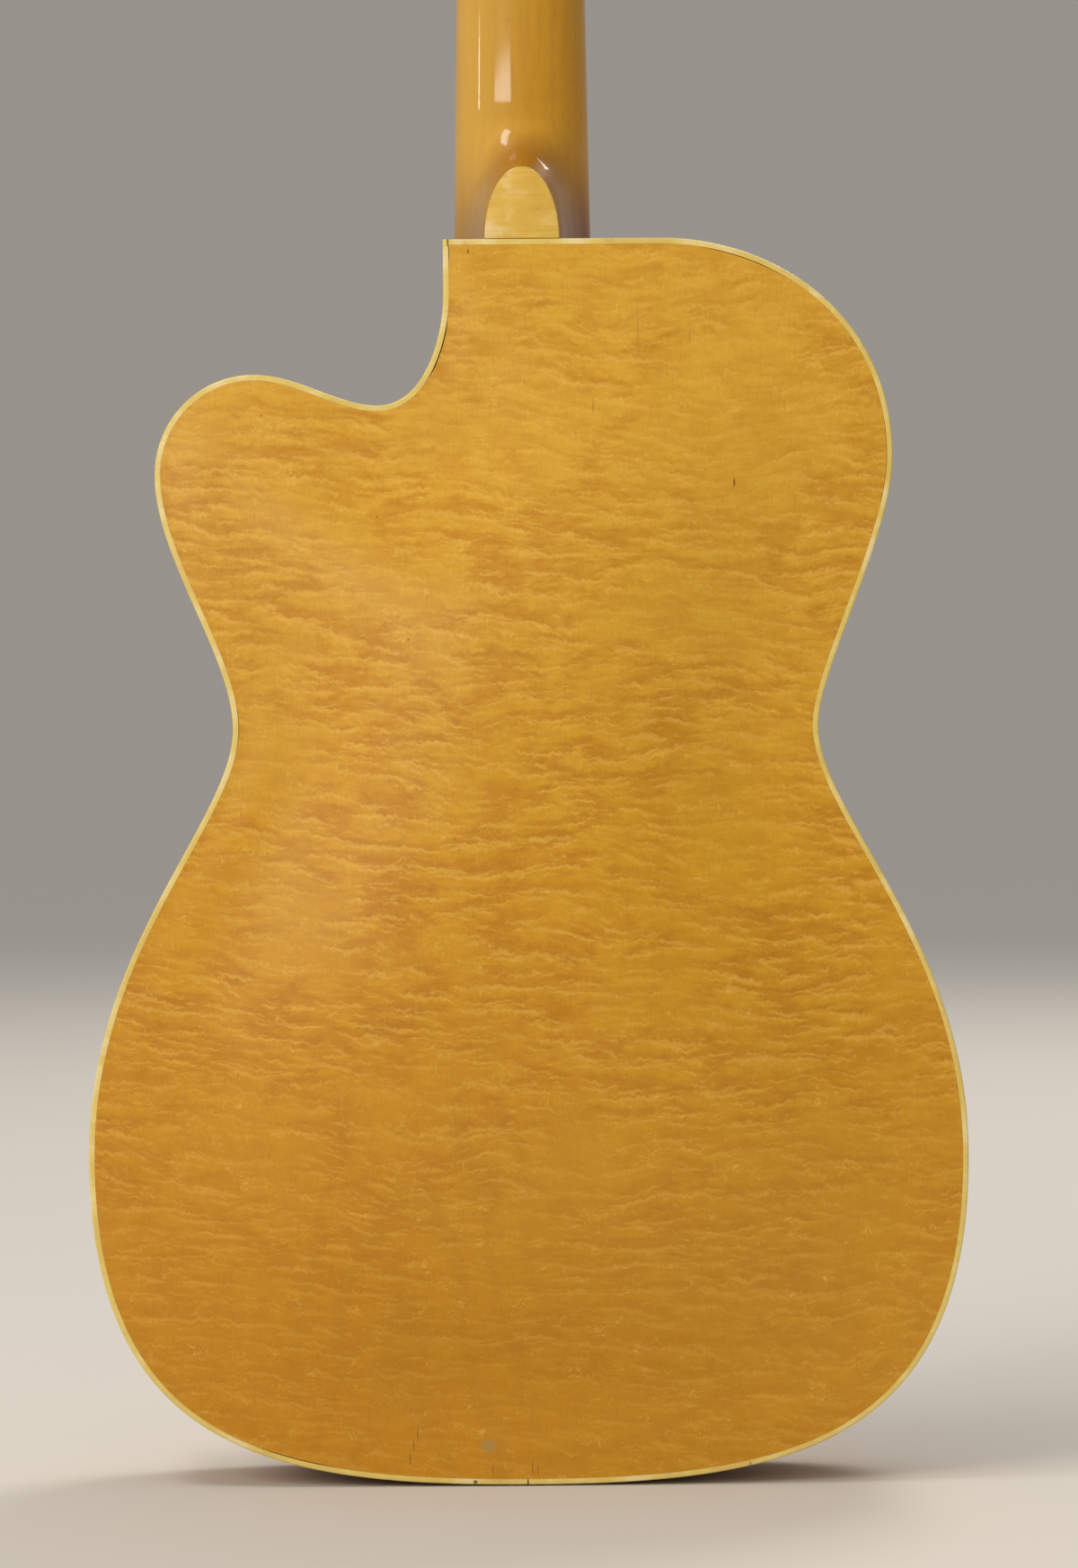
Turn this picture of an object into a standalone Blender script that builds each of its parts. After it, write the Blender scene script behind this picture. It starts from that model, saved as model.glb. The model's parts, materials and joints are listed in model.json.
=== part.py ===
"""An acoustic archtop guitar with a rounded cutaway, carved plates and open-gear tuners.

Metres, +Z up along the neck.  Seen from behind the guitar X runs to the right, the back faces -Y
and the soundboard faces +Y.  The origin lies on the neck's glue plane at the nut.
"""
import math

import bmesh
import bpy
import numpy as np
from mathutils import Euler, Matrix, Vector
from mathutils.bvhtree import BVHTree

# Clearances
FIT = 0.0003                 # glue line or seat between two touching pieces
RUN = 0.0004                 # running clearance round a turning pin

# Body outline, heights measured up from the bottom edge
BODY_LENGTH = 0.500
LOWER_HALF = 0.1766          # half width of the lower bout
LOWER_AT = 0.264 * BODY_LENGTH
WAIST_HALF = 0.1175
WAIST_AT = 0.608 * BODY_LENGTH
UPPER_HALF = 0.1482          # half width of the upper bout
UPPER_AT = 0.824 * BODY_LENGTH
SHOULDER_X = 0.055           # where the bass shoulder meets the straight top edge
CUTAWAY_X = 0.0318           # sharp corner of the cutaway beside the neck
CUTAWAY_STRAIGHT = 0.022
VALLEY_X = 0.0585
VALLEY_DROP = 0.0665         # valley of the cutaway below the top edge
HORN_X = 0.1084
HORN_DROP = 0.0538
HORN_SIDE_AT = 0.812 * BODY_LENGTH    # where the horn is widest

# Body depth and walls
BODY_DEPTH = 0.075
PLATE_THICK = 0.0045
BACK_ARCH = 0.0130
TOP_ARCH = 0.0155
RECURVE_WIDTH = 0.018        # margin of the plates before the arch rises
RECURVE_RISE = 0.0008
ARCH_PEAK = 0.38 * BODY_LENGTH    # height at which the arch is highest
SPINE_LOW = 0.30 * BODY_LENGTH    # the contour rings close on this line
SPINE_HIGH = 0.68 * BODY_LENGTH
RIB_THICK = 0.0022
BINDING_WIDTH = 0.0023
BINDING_DEPTH = 0.0060
LINING_WIDTH = 0.0060
LINING_DEPTH = 0.0140
NECK_BLOCK_LENGTH = 0.045
NECK_BLOCK_BASS = 0.045      # how far the neck block reaches to the bass side
TAIL_BLOCK_HALF = 0.035
TAIL_BLOCK_THICK = 0.022
TONE_BAR_WIDTH = 0.006
TONE_BAR_HEIGHT = 0.009
TONE_BAR_X = 0.036

# Sound holes
HOLE_X = 0.078
HOLE_DROP = 0.0045           # middle of the holes below the bridge
HOLE_HALF = 0.056
HOLE_SWAY = 0.013
HOLE_WIDTH = 0.0068
HOLE_EYE = 0.0056

# Neck and fingerboard
SCALE = 0.635
JOINT = 0.352                # from the nut to the body, at the fourteenth fret
NECK_ANGLE = math.radians(4.0)
NECK_ABOVE_TOP = 0.006       # glue plane above the top's edge at the body
NECK_NUT_HALF = 0.02275
NECK_JOINT_HALF = 0.0285
NECK_DEPTH_NUT = 0.0200
NECK_DEPTH_BODY = 0.0225
FINGERBOARD_END = 0.010       # board past its last fret
FINGERBOARD_THICK = 0.0060
FINGERBOARD_RADIUS = 0.305
FRETS = 20
FINGERBOARD_LENGTH = SCALE * (1.0 - 2.0 ** (-FRETS / 12.0)) + FINGERBOARD_END
FRET_WIDTH = 0.0024
FRET_RISE = 0.0010
HEEL_START = 0.285
HEEL_CAP_LENGTH = 0.029
HEEL_CAP_HALF = 0.0150
HEEL_CAP_THICK = 0.0030
SUPPORT_END_THICK = 0.0026
NUT_THICK = 0.0050
NUT_CROWN = 0.0021           # nut above the fingerboard
NUT_FLOOR = 0.0011           # string slots above the fingerboard

# Headstock
HEAD_ANGLE = math.radians(14.0)
HEAD_LENGTH = 0.150
HEAD_HALF = 0.0355
HEAD_THICK = 0.0140
HEAD_FLARE = 0.030
VENEER_THICK = 0.0015

# Truss rod
ROD_RADIUS = 0.0024
ROD_DROP = 0.0050            # axis below the glue plane
ROD_PAST_NUT = 0.014
ROD_NUT_RADIUS = 0.0036
ROD_NUT_LENGTH = 0.008
POCKET_HALF = 0.0060
POCKET_DEPTH = 0.0080
POCKET_END = 0.024
COVER_THICK = 0.0015
COVER_LENGTH = 0.036
COVER_HALF = 0.0115

# Tuners
TUNER_FIRST = 0.046
TUNER_PITCH = 0.038
TUNER_X = 0.0225
POST_RADIUS = 0.0030
POST_HEIGHT = 0.0118         # above the headstock's face
STRING_HOLE_DROP = 0.0028    # hole below the top of the post
STRING_HOLE_RADIUS = 0.0011
GEAR_TEETH = 14
GEAR_PITCH_RADIUS = 0.0060
GEAR_THICK = 0.0030
WORM_PITCH_RADIUS = 0.0025
TOOTH_ADDENDUM = 0.0007
TOOTH_DEDENDUM = 0.00095
TOOTH_FILL = 0.36            # share of the pitch that a tooth fills
WORM_TURNS = 2.8
COLLAR = 0.0009
SHAFT_RADIUS = 0.0013
PLATE_SHEET = 0.0010
PLATE_HALF = 0.0072
EAR_THICK = 0.0012
EAR_HALF = 0.0027
BUTTON_LENGTH = 0.0175
BUTTON_HALF_WIDE = 0.0092
BUTTON_HALF_THICK = 0.0040
BUTTON_CLEAR = 0.0050        # from the headstock's edge to the button
BUTTON_SOCKET = 0.0050

# Strings, bass to treble
STRING_RADII = (0.00066, 0.00052, 0.00040, 0.00030, 0.00021, 0.00016)
STRING_SPREAD_NUT = 0.037
STRING_SPREAD_BRIDGE = 0.052
STRING_SPREAD_TAIL = 0.046
STRING_RISE = 0.0108         # saddle crown above the neck's plane
WINDING_TURNS = 2
WINDING_GAP = 0.0005

# Bridge
BRIDGE_HALF = 0.070
BRIDGE_WIDTH = 0.014
BRIDGE_DECK = 0.0060         # thickness of the base at its middle
BRIDGE_RELIEF = 0.0020       # base clear of the top between its feet
BRIDGE_FOOT = 0.028          # where the feet begin beside the middle
BRIDGE_TIP = 0.0035          # thickness of the base at its ends
STUD_X = 0.036
STUD_RADIUS = 0.0020
STUD_REACH = 0.0045          # length of a stud inside the saddle
THREAD_PITCH = 0.0008
WHEEL_RADIUS = 0.0090
WHEEL_THICK = 0.0030
WHEEL_DROP = 0.0030          # room below the wheels for lowering
SADDLE_HALF = 0.052
SADDLE_WIDTH = 0.0085

# Tailpiece
TAIL_PLATE_HALF = 0.0170
TAIL_PLATE_LENGTH = 0.0200
TAIL_PLATE_THICK = 0.0015
HINGE_RISE = 0.0062          # hinge axis above the bracket's plate
HINGE_RADIUS = 0.0034
HINGE_PIN = 0.0015
BARREL_HALF = 0.0100
ROD_WIRE = 0.0020
CROSSBAR_AT = 0.113          # height of the crossbar above the body's bottom
CROSSBAR_HALF = 0.034
CROSSBAR_WIDTH = 0.011
CROSSBAR_THICK = 0.0060
CROSSBAR_CLEAR = 0.0070      # crossbar above the arch
BALL_RADIUS = 0.0019
BALL_LENGTH = 0.0038

# Pickguard
GUARD_THICK = 0.0025
GUARD_RISE = 0.0010          # underside above the neck's plane
GUARD_START = 0.430
GUARD_END = 0.612
GUARD_OUTER = 0.076
GUARD_INNER = 0.0285
BRACKET_AT = 0.540
BRACKET_SHEET = 0.0015
BRACKET_WIDTH = 0.008
BRACKET_FOOT = 0.102

# Levels that follow from the sizes above
JOINT_Y = JOINT * math.sin(NECK_ANGLE)
TOP_Z = -JOINT * math.cos(NECK_ANGLE)
BOTTOM_Z = TOP_Z - BODY_LENGTH
TOP_Y = JOINT_Y - NECK_ABOVE_TOP
BACK_Y = TOP_Y - BODY_DEPTH
BREAK = NUT_THICK + 0.0005   # the headstock bends back just past the nut
SADDLE_Z = -SCALE * math.cos(NECK_ANGLE) + STRING_RISE * math.sin(NECK_ANGLE)

NECK_TURN = (NECK_ANGLE, 0.0, 0.0)
HEAD_TURN = (NECK_ANGLE + HEAD_ANGLE, 0.0, 0.0)
NECK_FRAME = Euler(NECK_TURN).to_matrix().to_4x4()
HEAD_ORIGIN = NECK_FRAME @ Vector((0.0, 0.0, BREAK))
HEAD_FRAME = Matrix.Translation(HEAD_ORIGIN) @ Euler(HEAD_TURN).to_matrix().to_4x4()

COLOURS = {
    "figured_maple": ("c98f35", 0.26, 0.0),
    "neck_maple": ("b97a2e", 0.24, 0.0),
    "spruce": ("d3a052", 0.30, 0.0),
    "inner_wood": ("c9a878", 0.60, 0.0),
    "rosewood": ("3a2118", 0.42, 0.0),
    "binding": ("e2cd7e", 0.30, 0.0),
    "heel_cap": ("dcb95a", 0.30, 0.0),
    "bone": ("e6dcc0", 0.38, 0.0),
    "black_veneer": ("14110f", 0.22, 0.0),
    "tortoise": ("4a2414", 0.25, 0.0),
    "cream_button": ("dccb95", 0.32, 0.0),
    "steel": ("8d8d8c", 0.34, 1.0),
    "nickel": ("b4b0a6", 0.24, 1.0),
    "brass": ("b08d4c", 0.32, 1.0),
    "bronze_string": ("a9713c", 0.36, 1.0),
    "plain_string": ("c4c4c2", 0.25, 1.0),
}


def linear(code):
    """Linear colour of an sRGB hex code."""
    values = [int(code[i:i + 2], 16) / 255.0 for i in (0, 2, 4)]
    return [v / 12.92 if v <= 0.04045 else ((v + 0.055) / 1.055) ** 2.4 for v in values] + [1.0]


def make_materials():
    """One Principled material for each real material."""
    made = {}
    for name, (code, roughness, metallic) in COLOURS.items():
        material = bpy.data.materials.new(name)
        material.use_nodes = True
        shader = material.node_tree.nodes["Principled BSDF"]
        shader.inputs["Base Color"].default_value = linear(code)
        shader.inputs["Roughness"].default_value = roughness
        shader.inputs["Metallic"].default_value = metallic
        made[name] = material
    return made


def empty(name, matrix):
    """A guide that carries the pieces of one frame."""
    guide = bpy.data.objects.new(name, None)
    bpy.context.collection.objects.link(guide)
    guide.matrix_world = matrix
    guide.hide_render = True
    return guide


def place(name, mesh, material, parent=None, location=(0.0, 0.0, 0.0)):
    """Name a finished piece, give it its material and put it in its frame."""
    piece = bpy.data.objects.new(name, mesh)
    bpy.context.collection.objects.link(piece)
    piece.parent = parent
    piece.location = location
    if not mesh.materials:
        mesh.materials.append(MATERIALS[material])
    mesh.shade_smooth()
    mesh.set_sharp_from_angle(angle=math.radians(32.0))
    return piece


def solid(verts, faces, triangles=False):
    """Closed mesh with its faces pointing out; curved faces are split into triangles first."""
    mesh = bpy.data.meshes.new("solid")
    mesh.from_pydata([tuple(v) for v in verts], [], faces)
    work = bmesh.new()
    work.from_mesh(mesh)
    bmesh.ops.recalc_face_normals(work, faces=work.faces)
    if triangles:
        bmesh.ops.triangulate(work, faces=work.faces)
    work.to_mesh(mesh)
    work.free()
    return mesh


def loft(rings, loop=False, triangles=False):
    """Skin a row of rings of equal count; the ends are capped unless the row closes."""
    count = len(rings[0])
    rows = len(rings)
    faces = []
    for i in range(rows if loop else rows - 1):
        j = (i + 1) % rows
        for k in range(count):
            m = (k + 1) % count
            faces.append((i * count + k, i * count + m, j * count + m, j * count + k))
    if not loop:
        faces.append(tuple(range(count)))
        faces.append(tuple(range((rows - 1) * count, rows * count)))
    return solid(np.vstack(rings), faces, triangles)


def prism(outline, low, high, axis):
    """Extrude a flat outline along X, Y or Z; the outline holds the two other coordinates."""
    outline = np.asarray(outline, float)
    rings = []
    for level in (low, high):
        column = np.full(len(outline), level)
        parts = [outline[:, 0], outline[:, 1]]
        parts.insert("XYZ".index(axis), column)
        rings.append(np.stack(parts, axis=1))
    return loft(rings)


def box(low, high):
    """Box between two corners."""
    corners = [(low[0], low[1]), (high[0], low[1]), (high[0], high[1]), (low[0], high[1])]
    return prism(corners, low[2], high[2], "Z")


def circle(radius, sides, centre=(0.0, 0.0), start=0.0):
    """Points of a regular outline."""
    angle = start + np.arange(sides) * 2.0 * math.pi / sides
    return np.stack([centre[0] + radius * np.cos(angle), centre[1] + radius * np.sin(angle)], axis=1)


def rod(radius, low, high, axis, centre=(0.0, 0.0), sides=12):
    """Round bar along X, Y or Z."""
    return prism(circle(radius, sides, centre, math.pi / sides), low, high, axis)


def turned(profile, axis, centre=(0.0, 0.0), sides=8):
    """Stack of round sections (position, radius) along an axis."""
    rings = []
    for level, radius in profile:
        flat = circle(radius, sides, centre, math.pi / sides)
        parts = [flat[:, 0], flat[:, 1]]
        parts.insert("XYZ".index(axis), np.full(sides, level))
        rings.append(np.stack(parts, axis=1))
    return loft(rings)


def tube(points, radii, sides=6):
    """Round bar along a path, its sections carried along without twist."""
    points = [Vector(p) for p in points]
    rings = []
    side = None
    for i, point in enumerate(points):
        before = points[max(i - 1, 0)]
        after = points[min(i + 1, len(points) - 1)]
        along = (after - before).normalized()
        if side is None:
            side = along.orthogonal().normalized()
        side = (side - along * side.dot(along)).normalized()
        other = along.cross(side)
        ring = [point + (side * math.cos(a) + other * math.sin(a)) * radii[i]
                for a in (2.0 * math.pi * k / sides for k in range(sides))]
        rings.append(np.array(ring))
    return loft(rings)


def combine(mesh, tools, operation):
    """Exact Boolean of a mesh with others of the same frame."""
    base = bpy.data.objects.new("base", mesh)
    bpy.context.collection.objects.link(base)
    helpers = []
    for tool in tools:
        helper = bpy.data.objects.new("tool", tool)
        bpy.context.collection.objects.link(helper)
        step = base.modifiers.new("step", "BOOLEAN")
        step.operation = operation
        step.object = helper
        helpers.append(helper)
    bpy.context.view_layer.update()
    graph = bpy.context.evaluated_depsgraph_get()
    result = bpy.data.meshes.new_from_object(base.evaluated_get(graph))
    for helper in [base] + helpers:
        bpy.data.objects.remove(helper, do_unlink=True)
    result.materials.clear()
    work = bmesh.new()
    work.from_mesh(result)
    bmesh.ops.remove_doubles(work, verts=work.verts, dist=1e-7)
    bmesh.ops.dissolve_degenerate(work, edges=work.edges, dist=1e-7)
    bmesh.ops.dissolve_limit(work, angle_limit=math.radians(0.05), verts=work.verts, edges=work.edges)
    work.to_mesh(result)
    work.free()
    return result


def join(mesh, *others):
    """Weld pieces that overlap into one body."""
    return combine(mesh, others, "UNION")


def cut(mesh, *tools):
    """Take tools away from a body."""
    return combine(mesh, tools, "DIFFERENCE")


def mirrored(mesh):
    """Left-hand copy of a mesh."""
    copy = mesh.copy()
    copy.transform(Matrix.Diagonal((-1.0, 1.0, 1.0, 1.0)))
    copy.flip_normals()
    return copy


# Body outline

def arc(start, near_start, near_end, end, steps):
    """Cubic curve without its end point; the steps share its length and its bend evenly."""
    a, b, c, d = (np.array(p, float) for p in (start, near_start, near_end, end))

    def at(t):
        t = t[:, None]
        return (1 - t) ** 3 * a + 3 * (1 - t) ** 2 * t * b + 3 * (1 - t) * t * t * c + t ** 3 * d

    fine = np.linspace(0.0, 1.0, 201)
    chord = np.diff(at(fine), axis=0)
    length = np.linalg.norm(chord, axis=1)
    bend = np.abs(np.diff(np.unwrap(np.arctan2(chord[:, 1], chord[:, 0]))))
    bend = np.append(bend, bend[-1])
    share = length / length.sum() + 1.2 * bend / bend.sum()
    walked = np.concatenate([[0.0], np.cumsum(share)])
    return at(np.interp(np.linspace(0.0, walked[-1], steps, endpoint=False), walked, fine))


def mix(a, b, share):
    """Value part of the way from a to b."""
    return a + (b - a) * share


def body_outline():
    """Points (x, height) round the body from the bottom, first up the bass side."""
    top = BODY_LENGTH
    valley = top - VALLEY_DROP
    horn = top - HORN_DROP
    straight = top - CUTAWAY_STRAIGHT
    lower, waist, upper = LOWER_HALF, WAIST_HALF, UPPER_HALF
    return np.vstack([
        arc((0, 0), (0.57 * lower, 0), (lower, 0.09 * LOWER_AT), (lower, LOWER_AT), 8),
        arc((lower, LOWER_AT), (lower, mix(LOWER_AT, WAIST_AT, 0.50)),
            (waist, mix(WAIST_AT, LOWER_AT, 0.21)), (waist, WAIST_AT), 6),
        arc((waist, WAIST_AT), (waist, mix(WAIST_AT, UPPER_AT, 0.20)),
            (upper, mix(UPPER_AT, WAIST_AT, 0.29)), (upper, UPPER_AT), 5),
        arc((upper, UPPER_AT), (upper, mix(UPPER_AT, top, 0.68)),
            (mix(SHOULDER_X, upper, 0.46), top), (SHOULDER_X, top), 7),
        np.stack([np.linspace(SHOULDER_X, -CUTAWAY_X, 4, endpoint=False), np.full(4, top)], axis=1),
        np.array([(-CUTAWAY_X, top)]),
        arc((-CUTAWAY_X, straight), (-CUTAWAY_X, mix(straight, valley, 0.40)),
            (-mix(VALLEY_X, CUTAWAY_X, 0.70), valley), (-VALLEY_X, valley), 6),
        arc((-VALLEY_X, valley), (-mix(VALLEY_X, HORN_X, 0.32), valley),
            (-mix(HORN_X, VALLEY_X, 0.36), horn), (-HORN_X, horn), 4),
        arc((-HORN_X, horn), (-mix(HORN_X, upper, 0.5523), horn),
            (-upper, mix(HORN_SIDE_AT, horn, 0.5523)), (-upper, HORN_SIDE_AT), 6),
        arc((-upper, HORN_SIDE_AT), (-upper, mix(HORN_SIDE_AT, WAIST_AT, 0.33)),
            (-waist, mix(WAIST_AT, HORN_SIDE_AT, 0.29)), (-waist, WAIST_AT), 5),
        arc((-waist, WAIST_AT), (-waist, mix(WAIST_AT, LOWER_AT, 0.21)),
            (-lower, mix(LOWER_AT, WAIST_AT, 0.50)), (-lower, LOWER_AT), 6),
        arc((-lower, LOWER_AT), (-lower, 0.09 * LOWER_AT), (-0.57 * lower, 0), (0, 0), 8),
    ])


def inset(outline, distance):
    """Parallel outline moved inwards, with mitred corners."""
    before = outline - np.roll(outline, 1, axis=0)
    after = np.roll(outline, -1, axis=0) - outline
    before /= np.linalg.norm(before, axis=1)[:, None]
    after /= np.linalg.norm(after, axis=1)[:, None]
    one = np.stack([-before[:, 1], before[:, 0]], axis=1)
    two = np.stack([-after[:, 1], after[:, 0]], axis=1)
    mitre = (one + two) / (1.0 + np.sum(one * two, axis=1))[:, None]
    return outline + distance * mitre


def height_over(line, reach):
    """Highest point of a line along the body's bottom within a reach from the centre."""
    half = line[:len(line) // 4]
    return max(half[0, 1], float(np.interp(reach, half[:, 0], half[:, 1])))


def upright(outline, level):
    """Ring in the room from outline points (x, height) at one level of Y."""
    levels = np.zeros(len(outline)) + level
    return np.stack([outline[:, 0], levels, BOTTOM_Z + outline[:, 1]], axis=1)


def spine_points(outline):
    """Point of the crown line that each outline point runs to."""
    share = np.clip((outline[:, 1] - 0.12 * BODY_LENGTH) / (0.62 * BODY_LENGTH), 0.0, 1.0)
    return np.stack([np.zeros(len(outline)), mix(SPINE_LOW, SPINE_HIGH, share)], axis=1)


def openness(places):
    """Smooth distance from the edge: inverse root of the inverse cubes summed along the outline."""
    ahead = np.roll(OUTLINE, -1, axis=0)
    shares = (np.arange(10) + 0.5) / 10.0
    samples = np.concatenate([mix(OUTLINE, ahead, s) for s in shares])
    weight = np.tile(np.linalg.norm(ahead - OUTLINE, axis=1) / 10.0, 10)
    gap = np.linalg.norm(places[:, None, :] - samples[None, :, :], axis=2)
    return 1.0 / np.sqrt(np.sum(weight / gap ** 3, axis=1))


def rise(places, arch):
    """Height of a carved plate over its edge, highest in the wide lower bout."""
    margin = RECURVE_WIDTH / math.sqrt(2.0)
    crown = openness(np.array([(0.0, ARCH_PEAK)]))[0]
    share = np.clip((openness(places) - margin) / (crown - margin), 0.0, 1.0)
    return RECURVE_RISE + (arch - RECURVE_RISE) * np.sin(0.5 * math.pi * share) ** 2


def arched_plate(edge_y, out, arch):
    """Carved plate: rings from the edge over the recurve to the crown, each set to its height."""
    margin = inset(OUTLINE, RECURVE_WIDTH)
    spine = spine_points(OUTLINE)
    flat = np.zeros(len(OUTLINE))
    contours = [(inset(OUTLINE, BINDING_WIDTH + FIT), flat), (inset(OUTLINE, 0.45 * RECURVE_WIDTH), flat),
                (margin, flat + RECURVE_RISE)]
    for share in (0.24, 0.52, 0.90):
        ring = mix(margin, spine, share)
        contours.append((ring, rise(ring, arch)))
    outer = [upright(ring, edge_y + out * high) for ring, high in contours]
    inner = [upright(ring, edge_y + out * (high - PLATE_THICK)) for ring, high in contours]
    del inner[1]
    return loft(outer[::-1] + inner, triangles=True)


def rib(points_out, points_in, low, high):
    """Side strip bent along part of the outline."""
    rings = []
    for a, b in zip(points_out, points_in):
        rings.append(np.array([(a[0], low, BOTTOM_Z + a[1]), (a[0], high, BOTTOM_Z + a[1]),
                               (b[0], high, BOTTOM_Z + b[1]), (b[0], low, BOTTOM_Z + b[1])]))
    return loft(rings)


def band(out, width, low, high):
    """Closed strip round the whole outline."""
    one = inset(OUTLINE, out)
    two = inset(OUTLINE, out + width)
    rings = [upright(one, low), upright(one, high), upright(two, high), upright(two, low)]
    return loft(rings, loop=True)


def sound_hole(side):
    """Cutter of one f-shaped hole, as a swaying slot with two round eyes."""
    t = np.linspace(-1.0, 1.0, 9)
    x = HOLE_X - HOLE_SWAY * np.sin(1.9 * t)
    z = SADDLE_Z - HOLE_DROP + HOLE_HALF * t
    half = HOLE_WIDTH * (0.24 + 0.26 * np.cos(0.5 * math.pi * t) ** 2)
    slot = np.concatenate([np.stack([x + half, z], axis=1), np.stack([x - half, z], axis=1)[::-1]])
    slot[:, 0] *= side
    low, high = TOP_Y - 2.0 * PLATE_THICK, TOP_Y + TOP_ARCH + PLATE_THICK
    lower_eye = rod(HOLE_EYE, low, high, "Y", (side * (x[0] + 0.4 * HOLE_EYE), z[0]), 10)
    upper_eye = rod(0.85 * HOLE_EYE, low, high, "Y", (side * (x[-1] - 0.4 * HOLE_EYE), z[-1]), 10)
    return join(prism(slot, low, high, "Y"), lower_eye, upper_eye)


def level_at(tree, x, z, from_inside=False):
    """Height of the soundboard's outer or inner face at a point, read by a ray."""
    start = Vector((x, TOP_Y - 0.05 if from_inside else TOP_Y + 0.1, z))
    hit = tree.ray_cast(start, Vector((0.0, 1.0 if from_inside else -1.0, 0.0)))
    return hit[0].y


def tone_bar(tree, side):
    """Brace glued along the underside of the top, feathered at both ends."""
    rings = []
    half = TONE_BAR_WIDTH / 2
    ends = (SPINE_LOW - 0.055, SPINE_HIGH + 0.030)
    for share in (0.0, 0.1, 0.25, 0.4, 0.55, 0.7, 0.85, 1.0):
        height = mix(ends[0], ends[1], share)
        x = side * mix(TONE_BAR_X, TONE_BAR_X * 0.8, share)
        z = BOTTOM_Z + height
        seat = min(level_at(tree, x + s * half, z + d, True) for s in (-1, 1) for d in (-0.006, 0.0, 0.006)) - FIT
        deep = TONE_BAR_HEIGHT * (0.35 + 0.65 * math.sin(math.pi * share))
        rings.append(np.array([(x - half, seat, z), (x + half, seat, z),
                               (x + half * 0.6, seat - deep, z), (x - half * 0.6, seat - deep, z)]))
    return loft(rings)


# Neck

def neck_half(along):
    """Half width of the neck at a distance from the nut."""
    return mix(NECK_NUT_HALF, NECK_JOINT_HALF, along / JOINT)


def neck_ring(along, depth, half, heel, cap_half):
    """Section of the neck; heel blends the rounded back into the heel's tapering sides."""
    count = 14
    ring = []
    for k in range(count + 1):
        u = -1.0 + 2.0 * k / count
        angle = math.pi * (1.0 + k / count)
        round_x = half * math.copysign(abs(math.cos(angle)) ** 0.85, u if abs(u) > 1e-9 else 1.0)
        round_y = depth * abs(math.sin(angle)) ** 0.95
        flat = 2.0 / 7.0
        if abs(u) > flat:
            q = (1.0 - abs(u)) / (1.0 - flat)
            side_x = cap_half + (half - cap_half) * (1.0 - q) ** 1.7
            side_y = depth * q
        else:
            side_x = cap_half * abs(u) / flat
            side_y = depth
        side_x = math.copysign(side_x, u)
        x = mix(round_x if k != count // 2 else 0.0, side_x, heel)
        y = -mix(round_y, side_y, heel)
        shear = heel * math.tan(NECK_ANGLE) * (-y)
        ring.append((x, y, -along + shear))
    return np.array(ring)


def heel_depth(along, heel):
    """Depth of the neck's wood down to the heel cap's seat."""
    reach = along * math.sin(NECK_ANGLE) - BACK_Y - HEEL_CAP_THICK - FIT
    return reach / (math.cos(NECK_ANGLE) + heel * math.tan(NECK_ANGLE) * math.sin(NECK_ANGLE))


def head_half(up):
    """Half width of the headstock at a distance past the bend."""
    flare = min(up / HEAD_FLARE, 1.0)
    wide = mix(neck_half(-BREAK), HEAD_HALF, flare * flare * (3.0 - 2.0 * flare))
    wide -= 0.0025 * max(up - HEAD_FLARE, 0.0) / HEAD_LENGTH
    crown = max(up - (HEAD_LENGTH - 0.016), 0.0) / 0.016
    return wide * math.sqrt(max(1.0 - 0.42 * crown ** 2.4, 0.0))


def head_stations():
    """Distances past the bend at which the headstock's outline is set."""
    flare = [HEAD_FLARE * s for s in (0.2, 0.45, 0.7, 1.0)]
    crown = [HEAD_LENGTH - 0.016 * (1.0 - s) for s in (0.0, 0.35, 0.65, 0.85, 1.0)]
    return flare + crown


def head_ring(up, half, depth):
    """Nearly square section of the headstock in the neck's frame."""
    count = 14
    lean = Matrix.Rotation(HEAD_ANGLE, 3, "X")
    ring = []
    for k in range(count + 1):
        angle = math.pi * (1.0 + k / count)
        c, s = math.cos(angle), math.sin(angle)
        x = half * math.copysign(abs(c) ** 0.16, c) if k != count // 2 else 0.0
        y = -depth * abs(s) ** 0.16
        ring.append(lean @ Vector((x, y, up)) + Vector((0.0, 0.0, BREAK)))
    return np.array(ring)


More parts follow.
